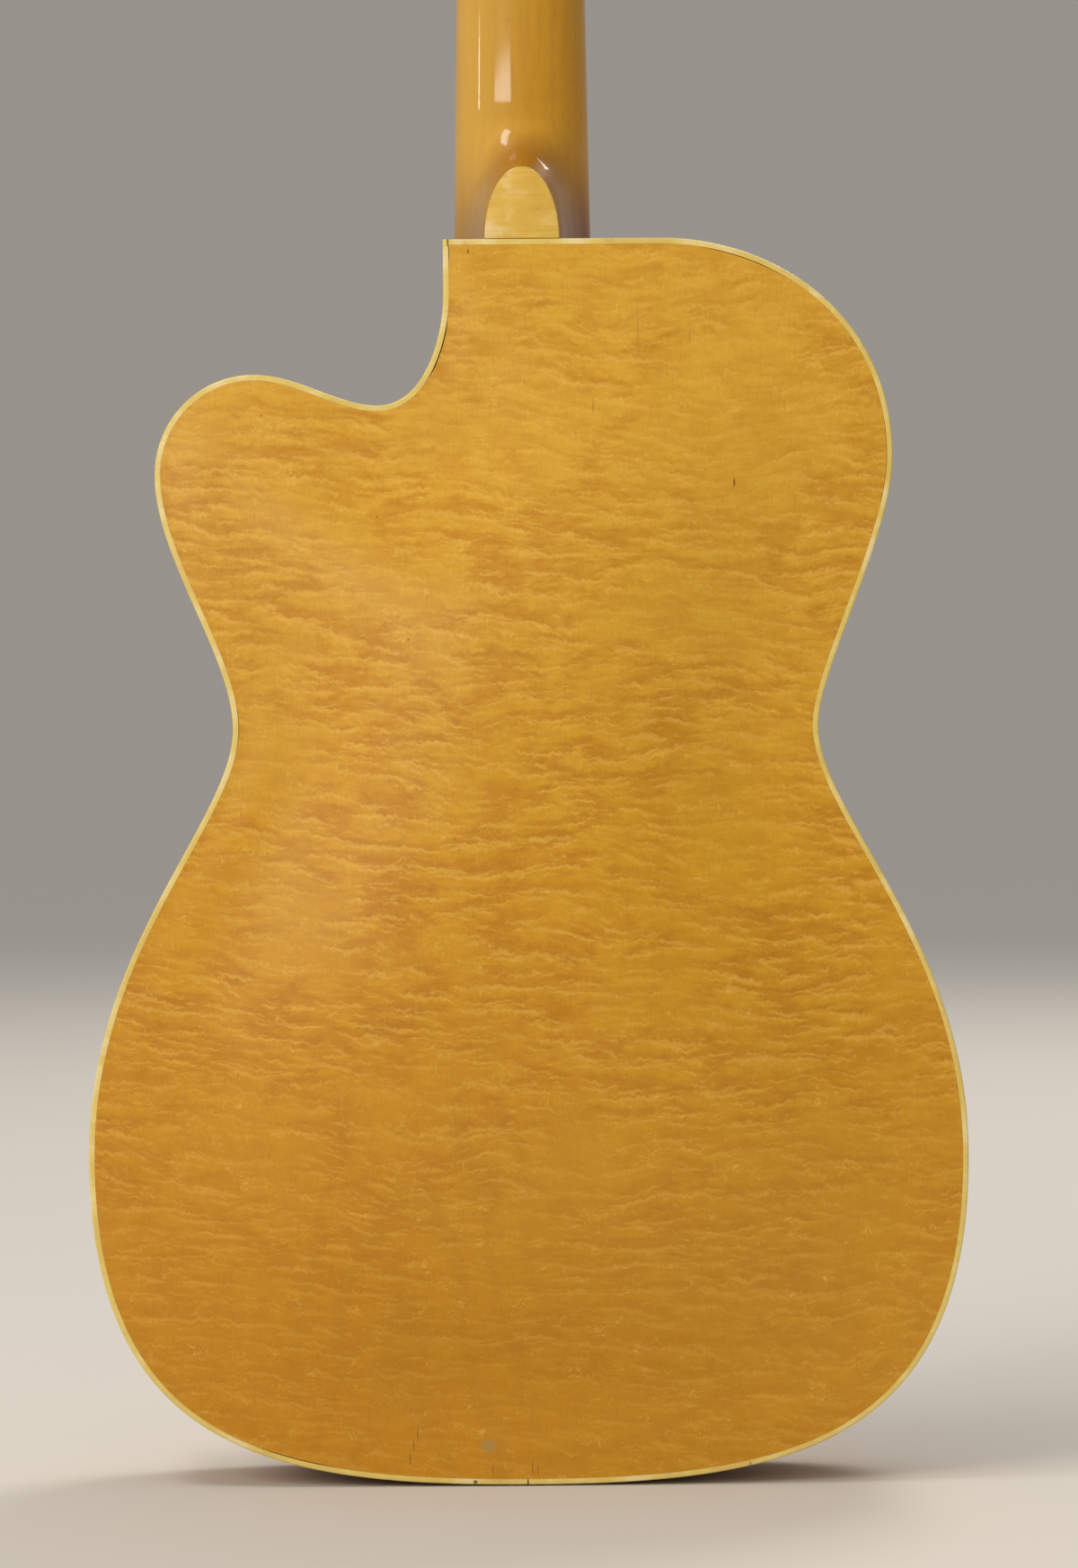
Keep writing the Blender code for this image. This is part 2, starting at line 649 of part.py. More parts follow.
def neck_body():
    """Neck, heel and headstock in one piece of wood, in the neck's frame."""
    rings = []
    end = JOINT - FIT / math.cos(NECK_ANGLE)
    tip = JOINT - HEEL_CAP_LENGTH
    for share in (0.0, 0.12, 0.25, 0.4, 0.55, 0.7, 0.82, 0.92, 1.0):
        along = mix(end, tip, share)
        full = heel_depth(along, 1.0)
        cap = HEEL_CAP_HALF * math.sqrt(max(1.0 - share, 0.0) * 0.985 + 0.015)
        rings.append(neck_ring(along, full, neck_half(along), 1.0, cap))
    for t in (0.985, 0.93, 0.83, 0.68, 0.48, 0.25, 0.0):
        along = mix(HEEL_START, tip, t)
        full = heel_depth(along, t ** 1.5)
        plain = mix(NECK_DEPTH_NUT, NECK_DEPTH_BODY, along / JOINT)
        depth = mix(plain, full, 1.0 - math.sqrt(1.0 - t * t))
        rings.append(neck_ring(along, depth, neck_half(along), t ** 1.5, HEEL_CAP_HALF * 0.12))
    for share in (0.66, 0.33, 0.06):
        along = HEEL_START * share
        depth = mix(NECK_DEPTH_NUT, NECK_DEPTH_BODY, along / JOINT)
        rings.append(neck_ring(along, depth, neck_half(along), 0.0, 0.0))
    bend = neck_ring(-BREAK, NECK_DEPTH_NUT * 0.93, neck_half(-BREAK), 0.0, 0.0)
    bend[:, 2] += bend[:, 1] * math.tan(HEAD_ANGLE / 2)
    rings.append(bend)
    for up in head_stations():
        deep = mix(NECK_DEPTH_NUT * 0.85, HEAD_THICK, min(up / (HEAD_FLARE * 0.7), 1.0))
        rings.append(head_ring(up, head_half(up), deep))
    return loft(rings)


def in_neck_frame(mesh):
    """Copy of a headstock mesh, moved into the neck's frame."""
    moved = mesh.copy()
    moved.transform(Matrix.Translation((0.0, 0.0, BREAK)) @ Matrix.Rotation(HEAD_ANGLE, 4, "X"))
    return moved


def tuner_heights():
    """Distances of the three tuners of one side past the bend."""
    return [TUNER_FIRST + TUNER_PITCH * i for i in range(3)]


def post_bores(low, high):
    """Cutters for the six string posts."""
    bores = []
    for side in (-1, 1):
        for up in tuner_heights():
            bores.append(rod(POST_RADIUS + RUN, low, high, "Y", (side * TUNER_X, up), 10))
    return bores


def fingerboard():
    """Rosewood board with a rounded face and its frets."""
    def ring(along, rise):
        half = neck_half(along)
        across = np.array([1.0, 0.5, 0.0, -0.5, -1.0]) * half
        crown = FINGERBOARD_THICK + FIT + rise - across ** 2 / (2.0 * FINGERBOARD_RADIUS)
        points = [(-half, FIT, -along), (half, FIT, -along)]
        return np.array(points + [(x, y, -along) for x, y in zip(across, crown)])

    rings = [ring(0.0, 0.0)]
    for number in range(1, FRETS + 1):
        along = SCALE * (1.0 - 2.0 ** (-number / 12.0))
        rings += [ring(along - FRET_WIDTH / 2, 0.0), ring(along, FRET_RISE), ring(along + FRET_WIDTH / 2, 0.0)]
    rings.append(ring(FINGERBOARD_LENGTH, 0.0))
    return loft(rings)


def fingerboard_support():
    """Wedge under the free end of the fingerboard, clear of the arched top."""
    start = JOINT + FIT
    end = FINGERBOARD_LENGTH - 0.006
    deep = NECK_ABOVE_TOP - 0.0008
    rings = []
    for along, thick in ((start, deep), (end, SUPPORT_END_THICK)):
        half = neck_half(along) - 0.0015
        low = FIT - thick
        rings.append(np.array([(-half, 0.0, -along), (half, 0.0, -along),
                               (half * 0.9, low, -along), (-half * 0.9, low, -along)]))
    return loft(rings)


def string_x(number, spread):
    """Sideways place of a string, bass to treble."""
    return spread * (0.5 - number / 5.0)


def nut():
    """Bone nut with a slot for each string."""
    half = NECK_NUT_HALF
    face = FINGERBOARD_THICK + FIT
    floor = face + NUT_FLOOR
    crown = face + NUT_CROWN
    profile = [(-half, FIT), (half, FIT), (half, face)]
    for number, radius in enumerate(STRING_RADII):
        x = string_x(number, STRING_SPREAD_NUT)
        wide = radius + RUN
        profile += [(x + wide, crown), (x + wide, floor), (x - wide, floor), (x - wide, crown)]
    profile.append((-half, face))
    return prism(profile, FIT, NUT_THICK, "Z")


def cover_plate():
    """Bell-shaped cover over the truss rod's pocket."""
    low = 0.0015
    height = COVER_LENGTH
    half = COVER_HALF
    right = [(half, low), (half * 0.98, low + 0.25 * height), (half * 0.62, low + 0.5 * height),
             (half * 0.36, low + 0.78 * height), (half * 0.16, low + height)]
    left = [(-x, z) for x, z in reversed(right)]
    level = FIT + VENEER_THICK + FIT
    return prism(right + left, level, level + COVER_THICK, "Y")


# Tuners

GEAR_PITCH = 2.0 * math.pi * GEAR_PITCH_RADIUS / GEAR_TEETH
WORM_OUTER = WORM_PITCH_RADIUS + TOOTH_ADDENDUM
WORM_ROOT = WORM_PITCH_RADIUS - TOOTH_DEDENDUM
CENTRE_DISTANCE = GEAR_PITCH_RADIUS + WORM_PITCH_RADIUS
WORM_HALF = WORM_TURNS * GEAR_PITCH / 2.0
EAR_INNER = WORM_HALF + COLLAR + FIT
SHEET_TOP = -HEAD_THICK - FIT
SHEET_LOW = SHEET_TOP - PLATE_SHEET
WORM_Y = SHEET_LOW - RUN - WORM_OUTER
BUTTON_START = HEAD_HALF + BUTTON_CLEAR - TUNER_X


def worm_thread():
    """Single-start thread along X: a helical strip closed to one point of the axis at each end."""
    per_turn = 8
    steps = int(round((WORM_TURNS - 0.8) * per_turn))
    crest = GEAR_PITCH * (TOOTH_FILL - 0.13)
    foot = GEAR_PITCH * (TOOTH_FILL + 0.13)
    profile = ((-foot / 2, WORM_ROOT), (-crest / 2, WORM_OUTER), (crest / 2, WORM_OUTER), (foot / 2, WORM_ROOT))
    verts = []
    for i in range(steps + per_turn + 1):
        turn = i / per_turn - (steps + per_turn) / (2.0 * per_turn)
        angle = -math.pi + 2.0 * math.pi * turn
        for along, radius in profile:
            verts.append((GEAR_PITCH * turn + along, radius * math.sin(angle), radius * math.cos(angle)))
    return np.array(verts), steps + per_turn, per_turn


def worm_shaft():
    """Key shaft with its worm and two collars, along X and centred on the worm."""
    verts, last, per_turn = worm_thread()
    start, finish = len(verts), len(verts) + 1
    ends = [(verts[0][0] + 0.3 * GEAR_PITCH, 0.0, 0.0), (verts[4 * last][0] + 0.2 * GEAR_PITCH, 0.0, 0.0)]
    faces = []
    for i in range(last):
        for k in range(3):
            faces.append((4 * i + k, 4 * i + k + 1, 4 * i + k + 5, 4 * i + k + 4))
    for i in range(last - per_turn):
        low, high = 4 * i + 3, 4 * (i + per_turn)
        faces.append((low, high, high + 4, low + 4))
    for i in range(per_turn):
        faces.append((4 * i, 4 * (i + 1), start))
        j = last - per_turn + i
        faces.append((4 * j + 3, 4 * (j + 1) + 3, finish))
    for k in range(3):
        faces.append((k, k + 1, start))
        faces.append((4 * last + k, 4 * last + k + 1, finish))
    faces.append((3, 4 * per_turn, start))
    faces.append((4 * (last - per_turn) + 3, 4 * last, finish))
    thread = solid(list(verts) + ends, faces)
    outer = EAR_INNER + EAR_THICK
    shaft = turned([(-outer - 0.0006, SHAFT_RADIUS), (BUTTON_START + BUTTON_SOCKET - FIT, SHAFT_RADIUS)], "X", sides=8)
    collars = [turned([(start, 1.25 * WORM_ROOT), (start + COLLAR, 1.25 * WORM_ROOT)], "X", sides=8)
               for start in (-WORM_HALF - COLLAR, WORM_HALF)]
    return join(thread, shaft, *collars)


def string_post():
    """Post with its slanted-tooth gear, along Y with the headstock's face at Y = 0."""
    lead = GEAR_PITCH / (2.0 * math.pi * WORM_PITCH_RADIUS)
    rings = []
    root = GEAR_PITCH_RADIUS - TOOTH_DEDENDUM
    tip = GEAR_PITCH_RADIUS + TOOTH_ADDENDUM
    tooth = TOOTH_FILL * 2.0 * math.pi / GEAR_TEETH
    for level in (-GEAR_THICK / 2, GEAR_THICK / 2):
        twist = level * lead / GEAR_PITCH_RADIUS
        ring = []
        for number in range(GEAR_TEETH):
            middle = -0.5 * math.pi + twist + 2.0 * math.pi * number / GEAR_TEETH
            for radius, offset in ((root, -0.72), (tip, -0.30), (tip, 0.30), (root, 0.72)):
                angle = middle + offset * tooth
                ring.append((radius * math.cos(angle), WORM_Y + level, radius * math.sin(angle)))
        rings.append(np.array(ring))
    gear = loft(rings)
    top = FIT + VENEER_THICK + POST_HEIGHT
    washer = SHEET_LOW - RUN
    post = turned([(WORM_Y - GEAR_THICK / 2 - 0.0013, 0.0022), (WORM_Y, 0.0022)], "Y", sides=8)
    boss = turned([(WORM_Y, GEAR_PITCH_RADIUS * 0.7), (washer, GEAR_PITCH_RADIUS * 0.7)], "Y", sides=8)
    stem = turned([(WORM_Y + 0.001, POST_RADIUS), (top, POST_RADIUS)], "Y", sides=10)
    whole = join(gear, boss, stem, post)
    hole = rod(STRING_HOLE_RADIUS, -2 * POST_RADIUS, 2 * POST_RADIUS, "X", (top - STRING_HOLE_DROP, 0.0), 6)
    return cut(whole, hole)


def tuner_plate():
    """Strip for three tuners with a pair of upright ears at each worm."""
    ups = tuner_heights()
    low = ups[0] - CENTRE_DISTANCE - 0.0055
    high = ups[2] + 0.0085
    strip = box((-PLATE_HALF, SHEET_LOW, low), (PLATE_HALF, SHEET_TOP, high))
    ears = []
    bores = []
    foot = WORM_Y - SHAFT_RADIUS - RUN - 0.0013
    for up in ups:
        worm = up - CENTRE_DISTANCE
        for s in (-1, 1):
            near, far = sorted((s * EAR_INNER, s * (EAR_INNER + EAR_THICK)))
            ears.append(box((near, foot, worm - EAR_HALF), (far, SHEET_TOP - PLATE_SHEET / 2, worm + EAR_HALF)))
        bores.append(rod(SHAFT_RADIUS + RUN, -2 * PLATE_HALF, 2 * PLATE_HALF, "X", (WORM_Y, worm), 8))
        bores.append(rod(POST_RADIUS + RUN, SHEET_LOW - 0.001, SHEET_TOP + 0.001, "Y", (0.0, up), 12))
    return cut(join(strip, *ears), *bores)


def tuner_button():
    """Oval button along X, with the socket that its shaft sits in."""
    rings = []
    profile = ((0.0, 0.34, 0.55), (0.10, 0.40, 0.70), (0.30, 0.85, 0.92), (0.58, 1.0, 1.0),
               (0.85, 0.80, 0.85), (1.0, 0.40, 0.45))
    angle = np.arange(10) * 0.2 * math.pi
    for share, wide, thick in profile:
        x = np.full(10, BUTTON_START + BUTTON_LENGTH * share)
        rings.append(np.stack([x, BUTTON_HALF_THICK * thick * np.sin(angle),
                               BUTTON_HALF_WIDE * wide * np.cos(angle)], axis=1))
    socket = rod(SHAFT_RADIUS + FIT, BUTTON_START - 0.001, BUTTON_START + BUTTON_SOCKET, "X", (0.0, 0.0), 8)
    return cut(loft(rings), socket)


# Bridge, tailpiece, pickguard

def crown_y(x):
    """Level of the saddle's crown under a string at x."""
    in_neck = Vector((x, STRING_RISE - x * x / (2.0 * FINGERBOARD_RADIUS), -SCALE))
    return (NECK_FRAME @ in_neck).y


def bridge_base(tree):
    """Ebony foot that follows the arch, raised between its two feet."""
    deck = level_at(tree, 0.0, SADDLE_Z) + FIT + BRIDGE_DECK
    half = BRIDGE_WIDTH / 2
    rings = []
    outer = np.array([0.85 * BRIDGE_FOOT, BRIDGE_FOOT, 0.68 * BRIDGE_HALF, 0.84 * BRIDGE_HALF, BRIDGE_HALF])
    for x in np.concatenate([-outer[::-1], outer]):
        seat = max(level_at(tree, x, SADDLE_Z + s * half) for s in (-1, 0, 1)) + FIT
        if abs(x) < 0.9 * BRIDGE_FOOT:
            seat = level_at(tree, 0.0, SADDLE_Z) + BRIDGE_RELIEF
        reach = abs(x) / BRIDGE_HALF
        crown = deck if reach < 0.70 else mix(deck, seat + BRIDGE_TIP, (reach - 0.68) / 0.32)
        narrow = half * (1.0 if reach < 0.9 else 0.75)
        rings.append(np.array([(x, seat, SADDLE_Z - narrow), (x, seat, SADDLE_Z + narrow),
                               (x, crown, SADDLE_Z + narrow * 0.7), (x, crown, SADDLE_Z - narrow * 0.7)]))
    bores = [rod(STUD_RADIUS + FIT, TOP_Y, deck + BRIDGE_DECK, "Y", (s * STUD_X, SADDLE_Z), 12) for s in (-1, 1)]
    return cut(loft(rings), *bores), deck


def saddle(underside):
    """Crowned saddle with bores for the studs and a notch for each string."""
    half = SADDLE_WIDTH / 2
    rings = []
    for x in np.linspace(-SADDLE_HALF, SADDLE_HALF, 9):
        top = crown_y(x)
        end = 0.7 if abs(x) > 0.95 * SADDLE_HALF else 1.0
        shoulder = mix(underside, top, 0.6)
        rings.append(np.array([(x, underside, -half), (x, underside, half), (x, shoulder, half * end),
                               (x, top, half * 0.3), (x, top, -half * 0.3), (x, shoulder, -half * end)]))
    above = crown_y(0.0) + STRING_RISE
    bores = [rod(STUD_RADIUS + RUN, underside - FIT, above, "Y", (s * STUD_X, 0.0), 12) for s in (-1, 1)]
    notches = []
    for number, radius in enumerate(STRING_RADII):
        x = string_x(number, STRING_SPREAD_BRIDGE)
        notches.append(rod(radius + 1.6 * FIT, -2 * half, 2 * half, "Z", (x, string_seat(number)), 8))
    return cut(loft(rings), *bores, *notches)


def string_seat(number):
    """Level of a string's axis over the saddle."""
    x = string_x(number, STRING_SPREAD_BRIDGE)
    return crown_y(x) + 0.35 * STRING_RADII[number] + FIT / 3


def thumbwheel():
    """Knurled wheel along Y, resting at Y = 0."""
    sides = 20
    outline = circle(WHEEL_RADIUS, sides)
    outline[::2] *= 0.95
    disc = prism(outline, 0.0, WHEEL_THICK, "Y")
    return cut(disc, rod(STUD_RADIUS + RUN, -0.001, WHEEL_THICK + 0.001, "Y", sides=8))


def tail_bracket(level):
    """Plate on the tail block with two knuckles for the hinge pin, hinge at the origin."""
    front = TAIL_PLATE_LENGTH - 0.004
    plate = box((-TAIL_PLATE_HALF, level, -0.004), (TAIL_PLATE_HALF, level + TAIL_PLATE_THICK, front))
    knuckles = []
    for s in (-1, 1):
        near, far = sorted((s * (BARREL_HALF + FIT), s * TAIL_PLATE_HALF))
        knuckles.append(rod(HINGE_RADIUS, near, far, "X", sides=8))
        knuckles.append(box((near, level + TAIL_PLATE_THICK / 2, -HINGE_RADIUS * 0.8), (far, 0.0, HINGE_RADIUS * 0.8)))
    bore = rod(HINGE_PIN + FIT, -0.1, 0.1, "X", sides=8)
    return cut(join(plate, *knuckles), bore)


def trapeze(bar_y, bar_z):
    """Hinge barrel, two bent rods and the slotted crossbar, hinge at the origin."""
    barrel = rod(HINGE_RADIUS, -BARREL_HALF, BARREL_HALF, "X", sides=8)
    bar_low = bar_z - CROSSBAR_WIDTH / 2
    bar = box((-CROSSBAR_HALF, bar_y - CROSSBAR_THICK / 2, bar_low),
              (CROSSBAR_HALF, bar_y + CROSSBAR_THICK / 2, bar_z + CROSSBAR_WIDTH / 2))
    rods = []
    for s in (-1, 1):
        out = s * (CROSSBAR_HALF - 0.004)
        path = [(s * 0.6 * BARREL_HALF, HINGE_RADIUS * 0.3, 0.0),
                (s * 0.75 * BARREL_HALF, bar_y * 0.08 + HINGE_RADIUS * 0.3, bar_z * 0.08),
                (s * 0.95 * BARREL_HALF, bar_y * 0.18, bar_z * 0.16),
                (out * 0.92, bar_y * 0.86, bar_z * 0.86), (out, bar_y * 0.94, bar_z * 0.93),
                (out, bar_y, bar_z)]
        rods.append(tube(path, [ROD_WIRE] * len(path), 8))
    whole = join(barrel, bar, *rods)
    slots = [rod(HINGE_PIN + FIT, -0.1, 0.1, "X", sides=8)]
    for number, radius in enumerate(STRING_RADII):
        x = string_x(number, STRING_SPREAD_TAIL)
        wide = radius + 1.5 * FIT
        slots.append(box((x - wide, bar_y + CROSSBAR_THICK / 6, bar_low - 0.001),
                         (x + wide, bar_y + CROSSBAR_THICK, bar_z + CROSSBAR_WIDTH)))
    return cut(whole, *slots)


def pickguard():
    """Floating guard beside the strings, in the neck's frame."""
    inner = -(neck_half(GUARD_START) + FIT + 0.0004)
    start, end = -GUARD_START, -GUARD_END
    corner = -(FINGERBOARD_LENGTH + 0.004)
    side = np.vstack([
        arc((-GUARD_INNER - 0.006, end), (-mix(GUARD_INNER, GUARD_OUTER, 0.60), end - 0.004),
            (-GUARD_OUTER, mix(end, start, 0.12)), (-GUARD_OUTER, mix(end, start, 0.36)), 6),
        arc((-GUARD_OUTER, mix(end, start, 0.36)), (-GUARD_OUTER, mix(end, start, 0.60)),
            (-mix(GUARD_INNER, GUARD_OUTER, 0.62), mix(end, start, 0.90)), (inner - 0.008, start), 6),
    ])
    outline = list(map(tuple, side)) + [(inner - 0.008, start), (inner, start - 0.003), (inner, corner),
                                       (-GUARD_INNER, corner - 0.006), (-GUARD_INNER, end + 0.004)]
    return prism(outline, GUARD_RISE, GUARD_RISE + GUARD_THICK, "Y")


def guard_bracket(tree):
    """Bent strip that carries the pickguard's outer edge from the top."""
    middle = -BRACKET_AT * math.cos(NECK_ANGLE)
    half = BRACKET_WIDTH / 2
    under = min((NECK_FRAME @ Vector((0.0, GUARD_RISE, z / math.cos(NECK_ANGLE)))).y
                for z in (middle - half, middle + half)) - FIT
    foot = max(level_at(tree, -x, middle + s * half)
               for x in (BRACKET_FOOT - 0.012, BRACKET_FOOT) for s in (-1, 0, 1)) + FIT
    t = BRACKET_SHEET
    near = BRACKET_FOOT - 0.012
    reach = GUARD_OUTER - 0.010
    outline = [(-BRACKET_FOOT, foot), (-near, foot), (-near, foot + t), (-near + 0.004, foot + t + 0.003),
               (-reach - 0.004, under - t), (-reach + 0.010, under - t), (-reach + 0.010, under),
               (-reach - 0.005, under), (-near + 0.0025, foot + t + 0.004), (-near - 0.001, foot + t),
               (-BRACKET_FOOT, foot + t)]
    return prism(outline, middle - half, middle + half, "Z")


# Strings

def string_path(number, bar_y, bar_z, post_x, post_up):
    """Run of one string from its ball end over the saddle and the nut to its post."""
    radius = STRING_RADII[number]
    tail_x = string_x(number, STRING_SPREAD_TAIL)
    slot_y = bar_y + CROSSBAR_THICK / 6 + FIT + radius
    low = bar_z - CROSSBAR_WIDTH / 2
    ball = low - FIT
    points = [(tail_x, slot_y, ball - BALL_LENGTH - RUN), (tail_x, slot_y, ball - BALL_LENGTH),
              (tail_x, slot_y, ball - RUN), (tail_x, slot_y, ball), (tail_x, slot_y, bar_z + 0.4 * CROSSBAR_WIDTH)]
    radii = [radius, BALL_RADIUS, BALL_RADIUS, radius, radius]
    saddle_x = string_x(number, STRING_SPREAD_BRIDGE)
    seat = string_seat(number)
    points += [(saddle_x, seat, SADDLE_Z - SADDLE_WIDTH / 6), (saddle_x, seat, SADDLE_Z + SADDLE_WIDTH / 6)]
    nut_x = string_x(number, STRING_SPREAD_NUT)
    nut_y = FINGERBOARD_THICK + FIT + NUT_FLOOR + FIT + radius
    points += [tuple(NECK_FRAME @ Vector((nut_x, nut_y, z))) for z in (0.1 * NUT_THICK, 0.9 * NUT_THICK)]
    side = 1.0 if post_x > 0 else -1.0
    leave = HEAD_FRAME.inverted() @ Vector(points[-1])
    reach = POST_RADIUS + FIT + radius
    dx, dz = side * leave.x - abs(post_x), leave.z - post_up
    touch = math.atan2(dz, dx) - math.acos(reach / math.hypot(dx, dz))
    hole_y = FIT + VENEER_THICK + POST_HEIGHT - STRING_HOLE_DROP
    pitch = 2.0 * radius + WINDING_GAP
    start_y = hole_y - (WINDING_TURNS + 0.35) * pitch
    per_turn = 9
    last = int(round(per_turn * (WINDING_TURNS + (touch % (2 * math.pi)) / (2 * math.pi))))
    sweep = 2.0 * math.pi * WINDING_TURNS + touch % (2.0 * math.pi)
    for k in range(last + 1):
        share = k / last
        angle = touch - sweep * share
        local = Vector((side * (abs(post_x) + reach * math.cos(angle)), mix(start_y, hole_y, share),
                        post_up + reach * math.sin(angle)))
        points.append(tuple(HEAD_FRAME @ local))
    tuck = [Vector((side * (abs(post_x) + POST_RADIUS * share), hole_y, post_up)) for share in (0.75, 0.1)]
    points += [tuple(HEAD_FRAME @ p) for p in tuck]
    radii += [radius] * (len(points) - len(radii))
    return points, radii


# Assembly

for old in list(bpy.data.objects):
    bpy.data.objects.remove(old, do_unlink=True)

MATERIALS = make_materials()
OUTLINE = body_outline()
CORNER = 8 + 6 + 5 + 7 + 4   # index of the cutaway's sharp corner in the outline

neck_guide = empty("neck_frame", NECK_FRAME)
head_guide = empty("head_frame", HEAD_FRAME)

# Body
place("back_plate", arched_plate(BACK_Y, -1.0, BACK_ARCH), "figured_maple")
whole_top = arched_plate(TOP_Y, 1.0, TOP_ARCH)
surface = bmesh.new()
surface.from_mesh(whole_top)
top_tree = BVHTree.FromBMesh(surface)
surface.free()
place("top_plate", cut(whole_top, sound_hole(1), sound_hole(-1)), "spruce")

rib_low = BACK_Y + BINDING_DEPTH + FIT
rib_high = TOP_Y - BINDING_DEPTH - FIT
outside = OUTLINE
inside = inset(OUTLINE, RIB_THICK)
split = np.array([FIT / 2, 0.0])
bass_out = outside[:CORNER + 1].copy()
bass_in = inside[:CORNER + 1].copy()
for line in (bass_out, bass_in):
    line[0] += split
    line[-1] += (1.5 * FIT, 0.0)
place("rib_bass", rib(bass_out, bass_in, rib_low, rib_high), "figured_maple")
treble_out = np.vstack([outside[CORNER:], outside[:1] - split])
treble_in = np.vstack([inside[CORNER:], inside[:1] - split])
place("rib_treble", rib(treble_out, treble_in, rib_low, rib_high), "figured_maple")

place("back_binding", band(0.0, BINDING_WIDTH, BACK_Y, BACK_Y + BINDING_DEPTH), "binding")
place("top_binding", band(0.0, BINDING_WIDTH, TOP_Y - BINDING_DEPTH, TOP_Y), "binding")

block_top = BODY_LENGTH - RIB_THICK - FIT
block_low = block_top - NECK_BLOCK_LENGTH
begin = next(i for i in range(CORNER, len(OUTLINE)) if OUTLINE[i, 1] < block_low - 0.003)
lining_outer = inset(OUTLINE, RIB_THICK + FIT)
lining_inner = inset(OUTLINE, RIB_THICK + FIT + LINING_WIDTH)
lining_end = NECK_BLOCK_BASS + FIT
finish = next(i for i in range(CORNER) if OUTLINE[i, 1] > BODY_LENGTH - 1e-6)
lining_rows = []
for line in (lining_outer, lining_inner):
    rows = list(line[begin:]) + list(line[:finish + 1])
    lining_rows.append(np.array(rows + [(lining_end, line[finish, 1])]))
place("back_lining", rib(lining_rows[0], lining_rows[1], BACK_Y + PLATE_THICK + FIT,
                         BACK_Y + PLATE_THICK + FIT + LINING_DEPTH), "inner_wood")
place("top_lining", rib(lining_rows[0], lining_rows[1], TOP_Y - PLATE_THICK - FIT - LINING_DEPTH,
                        TOP_Y - PLATE_THICK - FIT), "inner_wood")

back_inside = BACK_Y + PLATE_THICK + FIT
top_inside = TOP_Y - PLATE_THICK - FIT
place("neck_block", box((-CUTAWAY_X + RIB_THICK + FIT, back_inside, BOTTOM_Z + block_low),
                        (NECK_BLOCK_BASS, top_inside, BOTTOM_Z + block_top)), "inner_wood")
seat_z = BOTTOM_Z + height_over(inside, TAIL_BLOCK_HALF) + FIT
step_z = BOTTOM_Z + height_over(lining_inner, TAIL_BLOCK_HALF) + FIT
inner_z = BOTTOM_Z + RIB_THICK + TAIL_BLOCK_THICK
lining_low = back_inside + LINING_DEPTH + FIT
lining_high = top_inside - LINING_DEPTH - FIT
tail_profile = [(back_inside, step_z), (lining_low, step_z), (lining_low, seat_z), (lining_high, seat_z),
                (lining_high, step_z), (top_inside, step_z), (top_inside, inner_z), (back_inside, inner_z)]
place("tail_block", prism(tail_profile, -TAIL_BLOCK_HALF, TAIL_BLOCK_HALF, "X"), "inner_wood")
place("tone_bar_bass", tone_bar(top_tree, 1.0), "inner_wood")
place("tone_bar_treble", tone_bar(top_tree, -1.0), "inner_wood")

# Neck and headstock
groove = box((-ROD_RADIUS - FIT, -ROD_DROP - ROD_RADIUS - FIT, -JOINT + 0.022),
             (ROD_RADIUS + FIT, 0.01, BREAK - 0.0015))
pocket = box((-POCKET_HALF, -POCKET_DEPTH, -0.001), (POCKET_HALF, 0.01, POCKET_END))
neck_mesh = cut(neck_body(), groove, in_neck_frame(pocket),
                *[in_neck_frame(b) for b in post_bores(-2 * HEAD_THICK, HEAD_THICK)])
place("neck", neck_mesh, "neck_maple", neck_guide)

cap_rows = [s * 0.125 for s in range(9)]
cap_right = [(HEEL_CAP_HALF * math.sqrt(max(1.0 - s * s * 0.995, 0.0)), TOP_Z + FIT + (HEEL_CAP_LENGTH - FIT) * s)
             for s in [math.sin(0.5 * math.pi * r) for r in cap_rows]]
cap_outline = cap_right + [(-x, z) for x, z in reversed(cap_right)]
place("heel_cap", prism(cap_outline, BACK_Y, BACK_Y + HEEL_CAP_THICK, "Y"), "heel_cap")

place("fingerboard", fingerboard(), "rosewood", neck_guide)
place("fingerboard_support", fingerboard_support(), "neck_maple", neck_guide)
place("nut", nut(), "bone", neck_guide)
ups = [0.0006] + head_stations()
veneer_outline = [(head_half(u), u) for u in ups] + [(-head_half(u), u) for u in reversed(ups)]
veneer_holes = post_bores(-0.01, 0.01) + [box((-POCKET_HALF, -0.01, -0.002), (POCKET_HALF, 0.01, POCKET_END))]
place("headstock_veneer", cut(prism(veneer_outline, FIT, FIT + VENEER_THICK, "Y"), *veneer_holes),
      "black_veneer", head_guide)
place("truss_rod", rod(ROD_RADIUS, -JOINT + 0.022 + FIT, ROD_PAST_NUT, "Z", (0.0, -ROD_DROP), 10), "steel", neck_guide)
hexagon = prism(circle(ROD_NUT_RADIUS, 6), -ROD_NUT_LENGTH / 2, ROD_NUT_LENGTH / 2, "Z")
rod_nut = cut(hexagon, rod(ROD_RADIUS + FIT, -0.02, 0.02, "Z", sides=8))
place("truss_rod_nut", rod_nut, "brass", neck_guide, (0.0, -ROD_DROP, ROD_PAST_NUT - 0.001))
place("truss_rod_cover", cover_plate(), "black_veneer", head_guide)

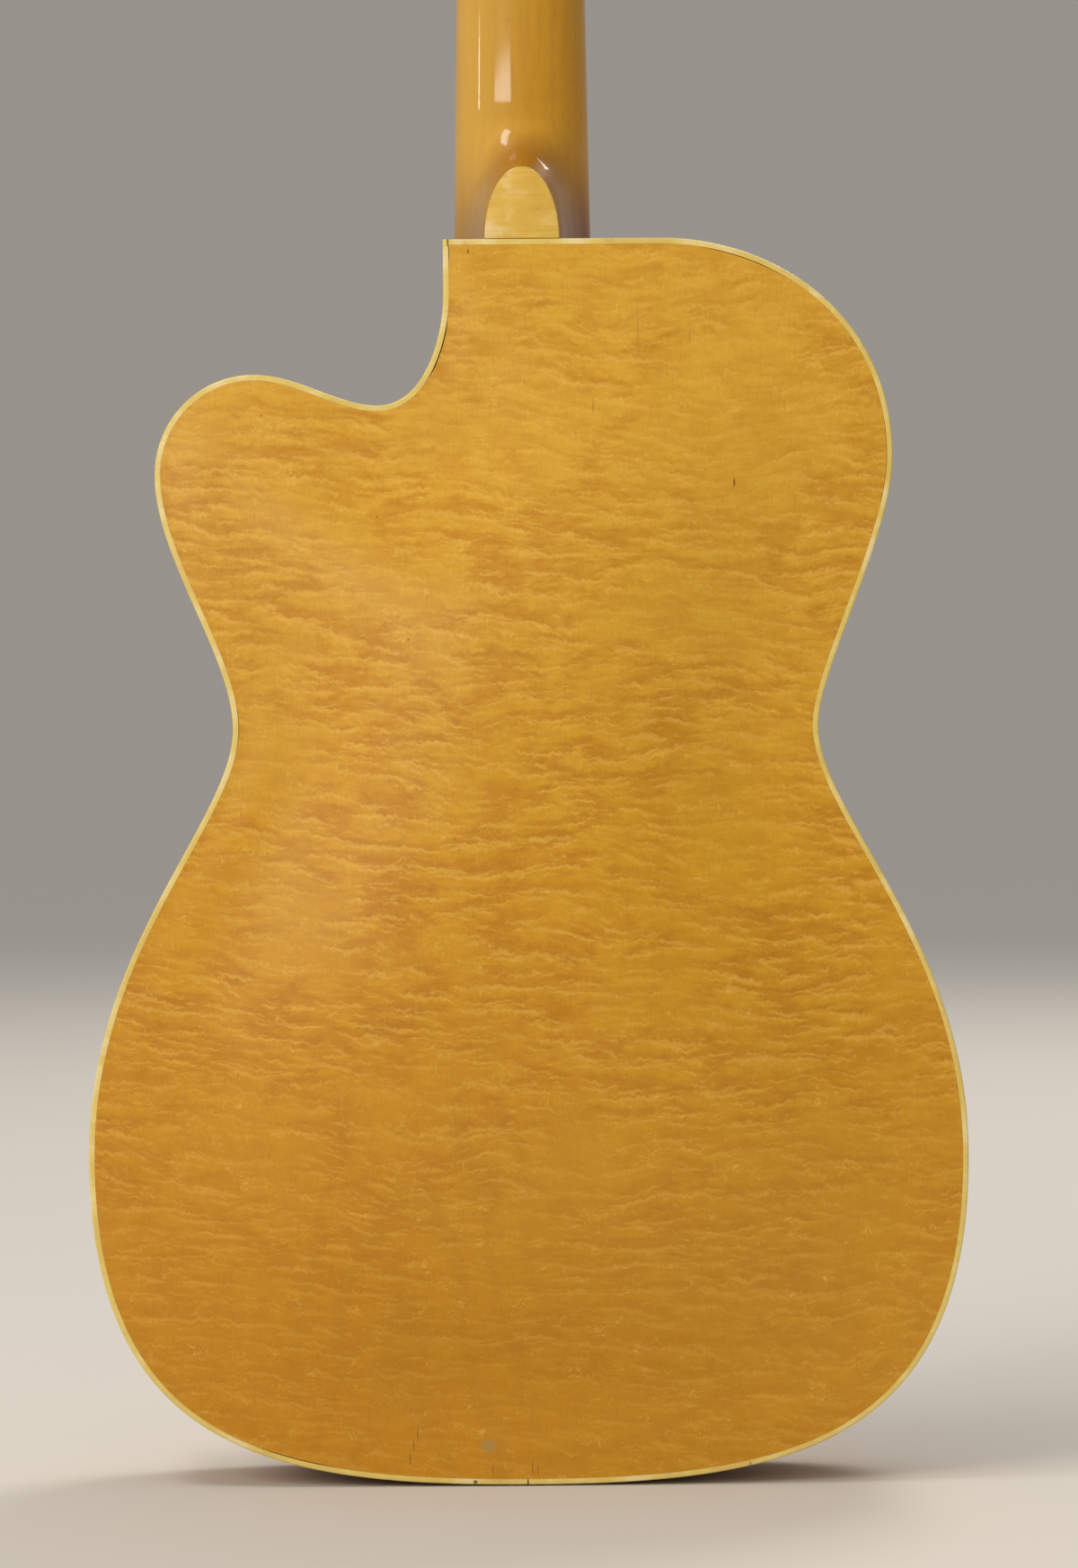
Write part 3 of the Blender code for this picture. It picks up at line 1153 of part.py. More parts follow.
# Tuners
tuner_meshes = [tuner_plate(), worm_shaft(), tuner_button(), string_post()]
for side, sign in (("bass", 1), ("treble", -1)):
    plate, shaft, button, post = tuner_meshes if sign > 0 else [mirrored(m) for m in tuner_meshes]
    place("tuner_plate_" + side, plate, "nickel", head_guide, (sign * TUNER_X, 0.0, 0.0))
    for i, up in enumerate(tuner_heights()):
        number = str(i + 1)
        axis = (sign * TUNER_X, WORM_Y, up - CENTRE_DISTANCE)
        place("worm_shaft_" + side + "_" + number, shaft, "nickel", head_guide, axis)
        place("tuner_button_" + side + "_" + number, button, "cream_button", head_guide, axis)
        place("string_post_" + side + "_" + number, post, "brass", head_guide, (sign * TUNER_X, 0.0, up))

# Bridge
base_mesh, deck = bridge_base(top_tree)
place("bridge_base", base_mesh, "rosewood")
wheel_low = deck + WHEEL_DROP
saddle_low = wheel_low + WHEEL_THICK + FIT
saddle_piece = saddle(saddle_low)
place("bridge_saddle", saddle_piece, "rosewood", None, (0.0, 0.0, SADDLE_Z))
wheel = thumbwheel()
stud_top = saddle_low + STUD_REACH
for side, sign in (("bass", 1), ("treble", -1)):
    place("thumbwheel_" + side, wheel, "brass", None, (sign * STUD_X, wheel_low, SADDLE_Z))
    stud_low = level_at(top_tree, sign * STUD_X, SADDLE_Z) + 0.8 * BRIDGE_RELIEF
    stud = rod(STUD_RADIUS, stud_low, stud_top, "Y", sides=8)
    place("bridge_stud_" + side, stud, "brass", None, (sign * STUD_X, 0.0, SADDLE_Z))

# Tailpiece
plate_seat = max(level_at(top_tree, x, BOTTOM_Z + h)
                 for x in (0.0, TAIL_PLATE_HALF) for h in (0.004, TAIL_PLATE_LENGTH + 0.004)) + FIT
hinge_y = plate_seat + TAIL_PLATE_THICK + HINGE_RISE
hinge_z = BOTTOM_Z + 0.008
bar_world_y = level_at(top_tree, 0.0, BOTTOM_Z + CROSSBAR_AT) + CROSSBAR_CLEAR + CROSSBAR_THICK / 2
bar_world_z = BOTTOM_Z + CROSSBAR_AT
hinge = (0.0, hinge_y, hinge_z)
place("tailpiece_bracket", tail_bracket(plate_seat - hinge_y), "nickel", None, hinge)
place("tailpiece_hinge_pin", rod(HINGE_PIN, -TAIL_PLATE_HALF - 0.001, TAIL_PLATE_HALF + 0.001, "X", sides=8),
      "steel", None, hinge)
place("tailpiece_trapeze", trapeze(bar_world_y - hinge_y, bar_world_z - hinge_z), "nickel", None, hinge)

# Pickguard
place("pickguard", pickguard(), "tortoise", neck_guide)
place("pickguard_bracket", guard_bracket(top_tree), "nickel")

# Strings, from the lowest on the bass side to the highest on the treble side
heights = tuner_heights()
posts = [(TUNER_X, heights[0]), (TUNER_X, heights[1]), (TUNER_X, heights[2]),
         (-TUNER_X, heights[2]), (-TUNER_X, heights[1]), (-TUNER_X, heights[0])]
for number, (post_x, post_up) in enumerate(posts):
    points, radii = string_path(number, bar_world_y, bar_world_z, post_x, post_up)
    kind = "bronze_string" if number < 4 else "plain_string"
    place("string_" + str(6 - number), tube(points, radii, 5), kind)
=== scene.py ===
"""Looks of an acoustic archtop guitar with a rounded cutaway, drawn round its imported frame.

Laid out as an add-on and run as a script.  Metres, +Z up along the neck; the back faces -Y.
"""

import json
import math

import bmesh
import bpy
import numpy as np
from bpy.props import FloatProperty, FloatVectorProperty, IntProperty, PointerProperty
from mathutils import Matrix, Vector

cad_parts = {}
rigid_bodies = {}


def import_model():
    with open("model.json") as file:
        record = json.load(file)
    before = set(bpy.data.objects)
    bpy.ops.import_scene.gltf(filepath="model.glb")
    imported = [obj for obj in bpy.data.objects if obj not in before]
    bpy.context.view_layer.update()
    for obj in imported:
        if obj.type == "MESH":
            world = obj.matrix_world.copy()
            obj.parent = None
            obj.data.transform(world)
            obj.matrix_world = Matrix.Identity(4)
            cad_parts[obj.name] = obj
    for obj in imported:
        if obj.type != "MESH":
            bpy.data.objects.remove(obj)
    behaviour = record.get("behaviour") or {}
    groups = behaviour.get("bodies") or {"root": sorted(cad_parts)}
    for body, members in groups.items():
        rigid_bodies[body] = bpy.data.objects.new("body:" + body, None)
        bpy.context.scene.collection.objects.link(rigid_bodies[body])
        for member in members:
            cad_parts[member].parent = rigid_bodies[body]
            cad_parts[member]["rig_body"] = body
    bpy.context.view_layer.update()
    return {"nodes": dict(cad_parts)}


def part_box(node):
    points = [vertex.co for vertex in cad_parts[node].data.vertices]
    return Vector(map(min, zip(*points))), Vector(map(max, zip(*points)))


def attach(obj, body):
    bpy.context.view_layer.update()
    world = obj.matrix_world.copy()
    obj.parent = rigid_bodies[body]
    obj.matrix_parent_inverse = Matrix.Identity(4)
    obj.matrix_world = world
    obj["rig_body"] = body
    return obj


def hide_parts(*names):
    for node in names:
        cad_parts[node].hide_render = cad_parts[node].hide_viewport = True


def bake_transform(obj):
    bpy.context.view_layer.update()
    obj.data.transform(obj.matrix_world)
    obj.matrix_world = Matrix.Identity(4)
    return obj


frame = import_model()

bl_info = {
    "name": "Archtop guitar",
    "version": (1, 0, 0),
    "blender": (4, 5, 0),
    "location": "3D View > Sidebar > Archtop",
    "description": "Dresses an acoustic archtop guitar piece by piece",
    "category": "Object",
}

# Levels read from the frame
BOTTOM_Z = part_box("back_binding")[0].z
TOP_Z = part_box("back_binding")[1].z
BACK_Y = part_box("back_binding")[0].y
TOP_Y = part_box("top_binding")[1].y
BINDING_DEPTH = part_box("back_binding")[1].y - BACK_Y

# Body
FIT = 0.0003
SHOULDER_X = 0.055
CUTAWAY_X = 0.0318
CUTAWAY_STRAIGHT = 0.022
VALLEY_X = 0.0585
VALLEY_DROP = 0.0665
HORN_X = 0.1084
HORN_DROP = 0.0538
PLATE_THICK = 0.0045
RECURVE_WIDTH = 0.018
RECURVE_RISE = 0.0008
RIB_THICK = 0.0022
HOLE_X = 0.078
HOLE_DROP = 0.0045
HOLE_HALF = 0.056
HOLE_SWAY = 0.013
HOLE_WIDTH = 0.0068
HOLE_EYE = 0.0056
QUARTER = 0.5523      # share of the radius that bends a cubic into a quarter circle
WELD = 2e-6      # points closer than this are one

# Where the back has shrunk from its binding: x, height over the bottom, reach and widest gap
SEAM_GAPS = (
    (-0.0338, 0.4560, 0.016, 0.00042), (0.0880, 0.4900, 0.022, 0.00026), (-0.0930, 0.0120, 0.020, 0.00030),
    (-0.1150, 0.3050, 0.012, 0.00016), (0.1440, 0.4100, 0.026, 0.00012), (-0.0290, 0.4940, 0.006, 0.00030),
)

# Neck and headstock
JOINT = 0.352
NECK_ANGLE = math.radians(4.0)
HEAD_ANGLE = math.radians(14.0)
NECK_DEPTH_NUT = 0.0200
NECK_DEPTH_BODY = 0.0225
BOARD_THICK = 0.0060
BOARD_RADIUS = 0.305
BOARD_END = 0.010
FRET_HEIGHT = 0.0010
FRET_HALF_WIDE = 0.0012
DOT_FRETS = (3, 5, 7, 9, 12, 15, 17)
DOT_SPREAD = 0.012      # of the two dots at the octave
DOT_RADIUS = 0.0032
HEEL_START = 0.285
HEEL_CAP_LENGTH = 0.029
HEEL_CAP_HALF = 0.0150
HEEL_CAP_THICK = 0.0030
CAP_FULLNESS = 0.995
NUT_THICK = 0.0050
NUT_FLOOR = 0.0011
BREAK = NUT_THICK + 0.0005
HEAD_LENGTH = 0.150
HEAD_HALF = 0.0355
HEAD_THICK = 0.0140
HEAD_FLARE = 0.030
HEAD_CROWN = 0.016
CROWN_START = HEAD_LENGTH - HEAD_CROWN
VENEER_THICK = 0.0015
COVER_THICK = 0.0015

# Tuners
TUNER_FIRST = 0.046
TUNER_PITCH = 0.038
TUNER_X = 0.0225
POST_RADIUS = 0.0030
POST_HEIGHT = 0.0118
STRING_HOLE_DROP = 0.0028
GEAR_TEETH = 14
GEAR_RADIUS = 0.0060
GEAR_THICK = 0.0030
GEAR_BLANK = 1.1 * GEAR_RADIUS
WORM_RADIUS = 0.0025
TOOTH_ADDENDUM = 0.0007
TOOTH_DEDENDUM = 0.00095
TOOTH_FILL = 0.36
WORM_TURNS = 2.8
COLLAR = 0.0009
SHAFT_RADIUS = 0.0013
PLATE_SHEET = 0.0010
EAR_THICK = 0.0012
BUTTON_LENGTH = 0.0175
BUTTON_HALF_WIDE = 0.0092
BUTTON_HALF_THICK = 0.0040
BUTTON_CLEAR = 0.0050
WORM_Y = -HEAD_THICK - FIT - PLATE_SHEET - 0.0004 - WORM_RADIUS - TOOTH_ADDENDUM
CENTRE_DISTANCE = GEAR_RADIUS + WORM_RADIUS
GEAR_PITCH = 2.0 * math.pi * GEAR_RADIUS / GEAR_TEETH

# Strings, bridge, tailpiece and pickguard
STRING_RADII = (0.00066, 0.00052, 0.00040, 0.00030, 0.00021, 0.00016)
STRING_SPREADS = (0.046, 0.052, 0.037)      # at the tailpiece, the bridge and the nut
STRING_RISE = 0.0108
WINDING_TURNS = 2
WINDING_GAP = 0.0005
BALL_RADIUS = 0.0019
BALL_LENGTH = 0.0038
STUD_PITCH = 0.0008
WHEEL_RADIUS = 0.0090
WHEEL_RIDGES = 54
RIDGE_DEPTH = 0.00035
HINGE_RADIUS = 0.0034
BARREL_HALF = 0.0100
ROD_WIRE = 0.0020
CROSSBAR_HALF = 0.034
CROSSBAR_WIDTH = 0.011
CROSSBAR_THICK = 0.0060
GUARD_THICK = 0.0025
GUARD_RISE = 0.0010
GUARD_START = 0.430
GUARD_END = 0.612
GUARD_OUTER = 0.076
GUARD_INNER = 0.0285

# Studio
FLOOR_RADIUS = 40.0
FLOOR_GAP = 0.0006


def linear(code):
    """Linear red, green and blue of an sRGB hex code."""
    values = [int(code[i:i + 2], 16) / 255.0 for i in (0, 2, 4)]
    return tuple(v / 12.92 if v <= 0.04045 else ((v + 0.055) / 1.055) ** 2.4 for v in values)


def rgba(shade):
    """Socket colour of a hex code or a linear colour."""
    return (*(linear(shade) if isinstance(shade, str) else tuple(shade)[:3]), 1.0)


# Sizes and colours that a user would change

def size(name, description, default):
    """A length in metres."""
    return FloatProperty(name=name, description=description, default=default, min=0.0, unit="LENGTH",
                         precision=4)


def colour(name, description, code):
    """A colour given as sRGB hex."""
    return FloatVectorProperty(name=name, description=description, default=linear(code), size=3,
                               min=0.0, max=1.0, subtype="COLOR")


class ArchtopSizes(bpy.types.PropertyGroup):
    """Main sizes of the guitar."""
    lower_half: size("Lower bout", "Half width of the lower bout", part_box("back_binding")[1].x)
    waist_half: size("Waist", "Half width of the waist", 0.1175)
    upper_half: size("Upper bout", "Half width of the upper bout", 0.1482)
    back_arch: size("Back arch", "Height of the carved back over its edge",
                    BACK_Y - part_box("back_plate")[0].y)
    top_arch: size("Top arch", "Height of the carved top over its edge",
                   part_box("top_plate")[1].y - TOP_Y)
    binding_width: size("Binding width", "Width of the binding seen on the plates", 0.0023)
    binding_round: size("Binding round", "Radius that scraping has left on the binding's edge", 0.0007)
    scale: size("Scale length", "From the nut to the saddle", 0.635)
    nut_half: size("Neck at the nut", "Half width of the neck at the nut", 0.02275)
    joint_half: size("Neck at the body", "Half width of the neck at the body", 0.0285)
    frets: IntProperty(name="Frets", description="Number of frets", default=20, min=12, max=24)


class ArchtopColours(bpy.types.PropertyGroup):
    """Finishes of the guitar."""
    maple_pale: colour("Maple, pale", "Maple between the flames, under amber lacquer", "d5a332")
    maple_gold: colour("Maple, gold", "Ground colour of the lacquered maple", "cb9314")
    maple_amber: colour("Maple, amber", "Flames of the maple", "b8790d")
    maple_brown: colour("Maple, brown", "Darkest wood at edges and round the heel", "7c4a22")
    spruce: colour("Spruce", "Carved top under amber lacquer", "d09a44")
    binding: colour("Binding", "Aged cream celluloid", "dac068")
    heel_cap: colour("Heel cap", "Aged cream celluloid with drawn lines", "d8b04c")
    rosewood: colour("Rosewood", "Fingerboard and bridge", "3b2219")
    guard: colour("Pickguard", "Dark mottled celluloid", "5a2a14")
    floor: colour("Floor", "Studio floor and background", "cfc9c0")


class ArchtopStudio(bpy.types.PropertyGroup):
    """Camera and lamps."""
    distance: size("Camera distance", "From the camera to the edge of the back", 2.0)
    seen_height: size("Height seen", "Height that the picture takes in at the edge of the back", 0.6291)
    aim_side: size("Aim, sideways", "Picture's middle to the right of the centre line", 0.0052)
    aim_height: size("Aim, height", "Picture's middle above the bottom of the body", 0.2811)
    roll: FloatProperty(name="Roll", description="Lean of the camera", default=math.radians(0.434),
                        subtype="ANGLE")
    key: FloatProperty(name="Key lamp", description="Power of the large lamp on the left of the back",
                       default=88.0, min=0.0, unit="POWER")
    front: FloatProperty(name="Front lamp", description="Power of the lamp that lights the soundboard",
                         default=80.0, min=0.0, unit="POWER")
    ambient: FloatProperty(name="Ambient light", description="Strength of the even light", default=0.50,
                           min=0.0)


def sizes():
    """The guitar's sizes."""
    return bpy.context.scene.archtop_sizes


def colours():
    """The guitar's colours."""
    return bpy.context.scene.archtop_colours


# Frames of the neck and the headstock

def lean(angle, origin=(0.0, 0.0, 0.0)):
    """Matrix that turns about X by an angle and then moves to an origin."""
    c, s = math.cos(angle), math.sin(angle)
    return np.array([[1, 0, 0, origin[0]], [0, c, -s, origin[1]], [0, s, c, origin[2]], [0, 0, 0, 1]], float)


def move(x, y, z):
    """Matrix of a shift."""
    return lean(0.0, (x, y, z))


def placed(points, matrix):
    """Points of a frame as points of the room."""
    return points @ matrix[:3, :3].T + matrix[:3, 3]


NECK = lean(NECK_ANGLE)
HEAD = NECK @ lean(HEAD_ANGLE, (0.0, 0.0, BREAK))
ROOM = np.eye(4)


# Meshes

def mix(a, b, share):
    """Value part of the way from a to b."""
    return a + (b - a) * share


def ease(share):
    """Smooth step: three squares less two cubes of the share, held between 0 and 1."""
    share = np.clip(share, 0.0, 1.0)
    return share * share * (3.0 - 2.0 * share)


def spline(points, steps):
    """Curve through points: each span is the cubic whose end slopes are half its neighbours' chord."""
    p = np.asarray(points, float)
    p = np.vstack([2 * p[:1] - p[1:2], p, 2 * p[-1:] - p[-2:-1]])
    t = np.linspace(0.0, len(p) - 3.0, steps)
    i = np.minimum(t.astype(int), len(p) - 4)
    u = (t - i)[:, None]
    a, b, c, d = p[i], p[i + 1], p[i + 2], p[i + 3]
    return 0.5 * (2 * b + (c - a) * u + (2 * a - 5 * b + 4 * c - d) * u ** 2
                  + (3 * b - a - 3 * c + d) * u ** 3)


def quads(rows, columns, start=0):
    """Faces of a grid: each joins four neighbouring points."""
    index = start + np.arange(rows * columns).reshape(rows, columns)
    corners = [index[:-1, :-1], index[:-1, 1:], index[1:, 1:], index[1:, :-1]]
    return np.stack(corners, axis=-1).reshape(-1, 4).tolist()


def shaded(mesh, sharp):
    """The mesh smooth, but for edges whose faces meet at more than an angle in degrees."""
    mesh.shade_smooth()
    mesh.set_sharp_from_angle(angle=math.radians(sharp))
    return mesh


def map_grain(mesh, places):
    """Adds the map Grain, which holds each point's place on the pattern in metres."""
    corner = np.empty(len(mesh.loops), np.int32)
    mesh.loops.foreach_get("vertex_index", corner)
    mesh.uv_layers.new(name="Grain").data.foreach_set("uv", places[corner].astype(np.float32).ravel())


def make_mesh(name, points, faces, grain, sharp):
    """Closed mesh with the map Grain, welded seams and faces out."""
    mesh = bpy.data.meshes.new(name)
    mesh.from_pydata(points.tolist(), [], faces)
    map_grain(mesh, grain)
    work = bmesh.new()
    work.from_mesh(mesh)
    bmesh.ops.remove_doubles(work, verts=work.verts, dist=WELD)
    bmesh.ops.recalc_face_normals(work, faces=work.faces)
    work.to_mesh(mesh)
    work.free()
    return shaded(mesh, sharp)


def grid_mesh(name, grids, sharp=35.0, matrix=ROOM):
    """One mesh from grids of points; each comes with the pattern's place of its points."""
    points, faces, grain = [], [], []
    start = 0
    for grid, places in grids:
        points.append(grid.reshape(-1, 3))
        grain.append(places.reshape(-1, 2))
        faces += quads(grid.shape[0], grid.shape[1], start)
        start += grid.shape[0] * grid.shape[1]
    return make_mesh(name, placed(np.vstack(points), matrix), faces, np.vstack(grain), sharp)


def walked(points):
    """Distance along a path at each of its points."""
    return np.concatenate([[0.0], np.cumsum(np.linalg.norm(np.diff(points, axis=0), axis=1))])


def measured(grid):
    """Pattern's place on a grid: distance round its first middle row, and distance down its columns."""
    along = walked(grid[:, grid.shape[1] // 3])
    around = walked(grid[grid.shape[0] // 2])
    return np.stack(np.meshgrid(around, along), axis=-1)


def capped(grid):
    """The grid with its first and last row closed to their middle points."""
    first = np.repeat(grid[:1].mean(axis=1, keepdims=True), grid.shape[1], axis=1)
    last = np.repeat(grid[-1:].mean(axis=1, keepdims=True), grid.shape[1], axis=1)
    return np.concatenate([first, grid, last])


def lathe(profile, sides, axis=1, centre=(0.0, 0.0, 0.0), swell=None):
    """Turned form: each profile point (level, radius) goes round an axis.

    Swell gives the radius at a level and an angle.
    """
    profile = np.asarray(profile, float)
    angle = np.linspace(0.0, 2.0 * math.pi, sides + 1)
    radius = np.repeat(profile[:, 1:], sides + 1, axis=1)
    if swell is not None:
        radius = swell(profile[:, :1], angle[None, :], radius)
    level = np.repeat(profile[:, :1], sides + 1, axis=1)
    parts = [radius * np.cos(angle), radius * np.sin(angle)]
    parts.insert(axis, level)
    grid = np.stack(parts, axis=-1) + np.asarray(centre)
    return capped(grid), measured(capped(grid))


def tube(path, radii, sides, guide):
    """Round bar of circles square to a path.

    Their first direction is the guide less its part along the path.
    """
    path = np.asarray(path, float)
    along = np.gradient(path, axis=0)
    along /= np.linalg.norm(along, axis=1)[:, None]
    side = np.asarray(guide, float) - along * (along @ np.asarray(guide, float))[:, None]
    side /= np.linalg.norm(side, axis=1)[:, None]
    other = np.cross(along, side)
    angle = np.linspace(0.0, 2.0 * math.pi, sides + 1)[None, :, None]
    grid = path[:, None] + np.asarray(radii, float)[:, None, None] * (np.cos(angle) * side[:, None]
                                                                     + np.sin(angle) * other[:, None])
    places = np.stack(np.meshgrid(np.linspace(0.0, 1.0, sides + 1), walked(path)), axis=-1)
    places = np.concatenate([places[:1], places, places[-1:]])
    return capped(grid), places


def both_sides(half):
    """Closed outline from its right half and that half mirrored."""
    return np.concatenate([half, (half * (-1.0, 1.0))[::-1]])


def anticlockwise(outline):
    """The outline with its inside on the left."""
    ahead = np.roll(outline, -1, axis=0)
    area = np.sum(outline[:, 0] * ahead[:, 1] - ahead[:, 0] * outline[:, 1])
    return outline if area > 0.0 else outline[::-1]


def inset(outline, distance):
    """Parallel outline moved inwards: each point goes along the mitre of its two edges."""
    before = outline - np.roll(outline, 1, axis=0)
    after = np.roll(outline, -1, axis=0) - outline
    before /= np.linalg.norm(before, axis=1)[:, None]
    after /= np.linalg.norm(after, axis=1)[:, None]
    one = np.stack([-before[:, 1], before[:, 0]], axis=1)
    two = np.stack([-after[:, 1], after[:, 0]], axis=1)
    return outline + distance * (one + two) / (1.0 + np.sum(one * two, axis=1))[:, None]


def at_level(outline, level):
    """Points (x, y, z) of an outline (x, z) at a level of Y."""
    return np.stack([outline[:, 0], np.full(len(outline), level), outline[:, 1]], axis=1)


def slab(name, outline, low, high, edge, matrix=ROOM, low_edge=None, sharp=35.0):
    """Plate between two levels of Y: its outline (x, z) is drawn in round a quarter circle at both edges."""
    outline = anticlockwise(np.asarray(outline, float))
    low_edge = edge * 0.3 if low_edge is None else low_edge
    turn = np.linspace(0.0, 0.5 * math.pi, 5)
    rows = [(low_edge * (1 - math.cos(a)), low + low_edge * (1 - math.sin(a))) for a in turn[::-1]]
    rows += [(edge * (1 - math.cos(a)), high - edge * (1 - math.sin(a))) for a in turn]
    rings = [at_level(inset(outline, distance), level) for distance, level in rows]
    points = np.vstack([np.vstack([ring, ring[:1]]) for ring in rings])
    count = len(outline)
    last = (len(rows) - 1) * (count + 1)
    faces = quads(len(rows), count + 1) + [list(range(count)), list(range(last, last + count))]
    return make_mesh(name, placed(points, matrix), faces, points[:, [0, 2]], sharp)


def cutter(outline, low, high, matrix=ROOM):
    """Plate to cut with, whose edges are rounded by no more than a hundredth of a millimetre."""
    return slab("cutter", outline, low, high, 1e-5, matrix)


def joined(name, meshes):
    """One mesh from several."""
    work = bmesh.new()
    for mesh in meshes:
        work.from_mesh(mesh)
    result = bpy.data.meshes.new(name)
    work.to_mesh(result)
    work.free()
    return result


def piece(name, mesh, look, body, stands_for=(), slot=None):
    """Object of one look that stands for the nodes it is drawn over.

    It rides on a body where one is given. Its slot argument is not used.
    """
    made = bpy.data.objects.new(name, mesh)
    bpy.context.scene.collection.objects.link(made)
    mesh.materials.clear()
    mesh.materials.append(finish(look))
    if body:
        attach(made, body)
    if stands_for:
        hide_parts(*stands_for)
    slot = look if slot is None else slot
    return made


def eased_copy(name, node, width, look, segments=2):
    """Copy of a node with its flat faces joined again and its edges rounded."""
    source = frame["nodes"][node]
    work = bmesh.new()
    work.from_mesh(source.data)
    bmesh.ops.remove_doubles(work, verts=work.verts, dist=WELD)
    bmesh.ops.dissolve_limit(work, angle_limit=math.radians(1.0), verts=work.verts, edges=work.edges)
    bmesh.ops.recalc_face_normals(work, faces=work.faces)
    mesh = bpy.data.meshes.new(name)
    work.to_mesh(mesh)
    work.free()
    while mesh.uv_layers:
        mesh.uv_layers.remove(mesh.uv_layers[0])
    places = np.empty(3 * len(mesh.vertices), np.float32)
    mesh.vertices.foreach_get("co", places)
    map_grain(mesh, places.reshape(-1, 3)[:, [0, 2]])
    made = piece(name, shaded(mesh, 30.0), look, source["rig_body"], (node,), slot="")
    bevel = made.modifiers.new("edges", "BEVEL")
    bevel.width = width
    bevel.segments = segments
    bevel.limit_method = "ANGLE"
    bevel.angle_limit = math.radians(30.0)
    bevel.harden_normals = True
    return made


# Body forms

def curve(start, near_start, near_end, end, steps):
    """Cubic between two points without its last point, in steps of even length."""
    a, b, c, d = (np.array(p, float) for p in (start, near_start, near_end, end))
    t = np.linspace(0.0, 1.0, 801)[:, None]
    fine = (1 - t) ** 3 * a + 3 * (1 - t) ** 2 * t * b + 3 * (1 - t) * t * t * c + t ** 3 * d
    along = walked(fine)
    even = np.linspace(0.0, along[-1], steps, endpoint=False)
    return np.stack([np.interp(even, along, fine[:, i]) for i in (0, 1)], axis=1)


def body_outline():
    """Points (x, height over the bottom) round the body, and the index of its sharp corner.

    They go up the bass side first.
    """
    s = sizes()
    top = TOP_Z - BOTTOM_Z
    lower_at, waist_at, upper_at, horn_at = (share * top for share in (0.264, 0.608, 0.824, 0.812))
    valley, horn, straight = top - VALLEY_DROP, top - HORN_DROP, top - CUTAWAY_STRAIGHT
    lower, waist, upper = s.lower_half, s.waist_half, s.upper_half
    bass = [
        curve((0, 0), (0.57 * lower, 0), (lower, 0.09 * lower_at), (lower, lower_at), 72),
        curve((lower, lower_at), (lower, mix(lower_at, waist_at, 0.50)),
              (waist, mix(waist_at, lower_at, 0.21)), (waist, waist_at), 60),
        curve((waist, waist_at), (waist, mix(waist_at, upper_at, 0.20)),
              (upper, mix(upper_at, waist_at, 0.29)), (upper, upper_at), 40),
        curve((upper, upper_at), (upper, mix(upper_at, top, 0.68)),
              (mix(SHOULDER_X, upper, 0.46), top), (SHOULDER_X, top), 56),
        np.stack([np.linspace(SHOULDER_X, -CUTAWAY_X, 26, endpoint=False), np.full(26, top)], axis=1),
    ]
    treble = [
        np.stack([np.full(7, -CUTAWAY_X), np.linspace(top, straight, 7, endpoint=False)], axis=1),
        curve((-CUTAWAY_X, straight), (-CUTAWAY_X, mix(straight, valley, 0.40)),
              (-mix(VALLEY_X, CUTAWAY_X, 0.70), valley), (-VALLEY_X, valley), 34),
        curve((-VALLEY_X, valley), (-mix(VALLEY_X, HORN_X, 0.32), valley),
              (-mix(HORN_X, VALLEY_X, 0.36), horn), (-HORN_X, horn), 30),
        curve((-HORN_X, horn), (-mix(HORN_X, upper, QUARTER), horn),
              (-upper, mix(horn_at, horn, QUARTER)), (-upper, horn_at), 34),
        curve((-upper, horn_at), (-upper, mix(horn_at, waist_at, 0.33)),
              (-waist, mix(waist_at, horn_at, 0.29)), (-waist, waist_at), 44),
        curve((-waist, waist_at), (-waist, mix(waist_at, lower_at, 0.21)),
              (-lower, mix(lower_at, waist_at, 0.50)), (-lower, lower_at), 60),
        curve((-lower, lower_at), (-lower, 0.09 * lower_at), (-0.57 * lower, 0), (0, 0), 72),
    ]
    return np.vstack(bass + treble), sum(len(part) for part in bass)


def openness(places, outline):
    """Smooth distance from the edge.

    It is the inverse root of the inverse cubes of the distances, summed along the outline.
    """
    ahead = np.roll(outline, -1, axis=0)
    samples = np.concatenate([mix(outline, ahead, share) for share in (0.125, 0.375, 0.625, 0.875)])
    weight = np.tile(np.linalg.norm(ahead - outline, axis=1) / 4.0, 4)
    flat = places.reshape(-1, 2)
    result = np.empty(len(flat))
    for begin in range(0, len(flat), 1500):
        gap = np.linalg.norm(flat[begin:begin + 1500, None] - samples[None], axis=2)
        result[begin:begin + 1500] = 1.0 / np.sqrt((weight / gap ** 3).sum(axis=1))
    return result.reshape(places.shape[:-1])


def arch_height(places, outline, arch):
    """Height over the edge: a low recurve, then the carved arch.

    The arch goes with the squared sine of the share of the way to the crown.
    """
    margin = RECURVE_WIDTH / math.sqrt(2.0)
    crown = openness(np.array([[0.0, 0.38 * (TOP_Z - BOTTOM_Z)]]), outline)[0]
    open_here = openness(places, outline)
    share = np.clip((open_here - margin) / (crown - margin), 0.0, 1.0)
    recurve = RECURVE_RISE * ease((open_here - 0.0016) / (margin - 0.0016))
    return recurve + (arch - RECURVE_RISE) * np.sin(0.5 * math.pi * share) ** 2


def seam_gap(outline, out):
    """Gap between the back and its binding: a rounded hump of up to 0.4 mm round each place of the list."""
    gap = np.zeros(len(outline))
    if out < 0.0:
        for x, height, reach, widest in SEAM_GAPS:
            far = np.hypot(outline[:, 0] - x, outline[:, 1] - height)
            gap = np.maximum(gap, widest * ease((reach - far) / (0.6 * reach)))
    return gap


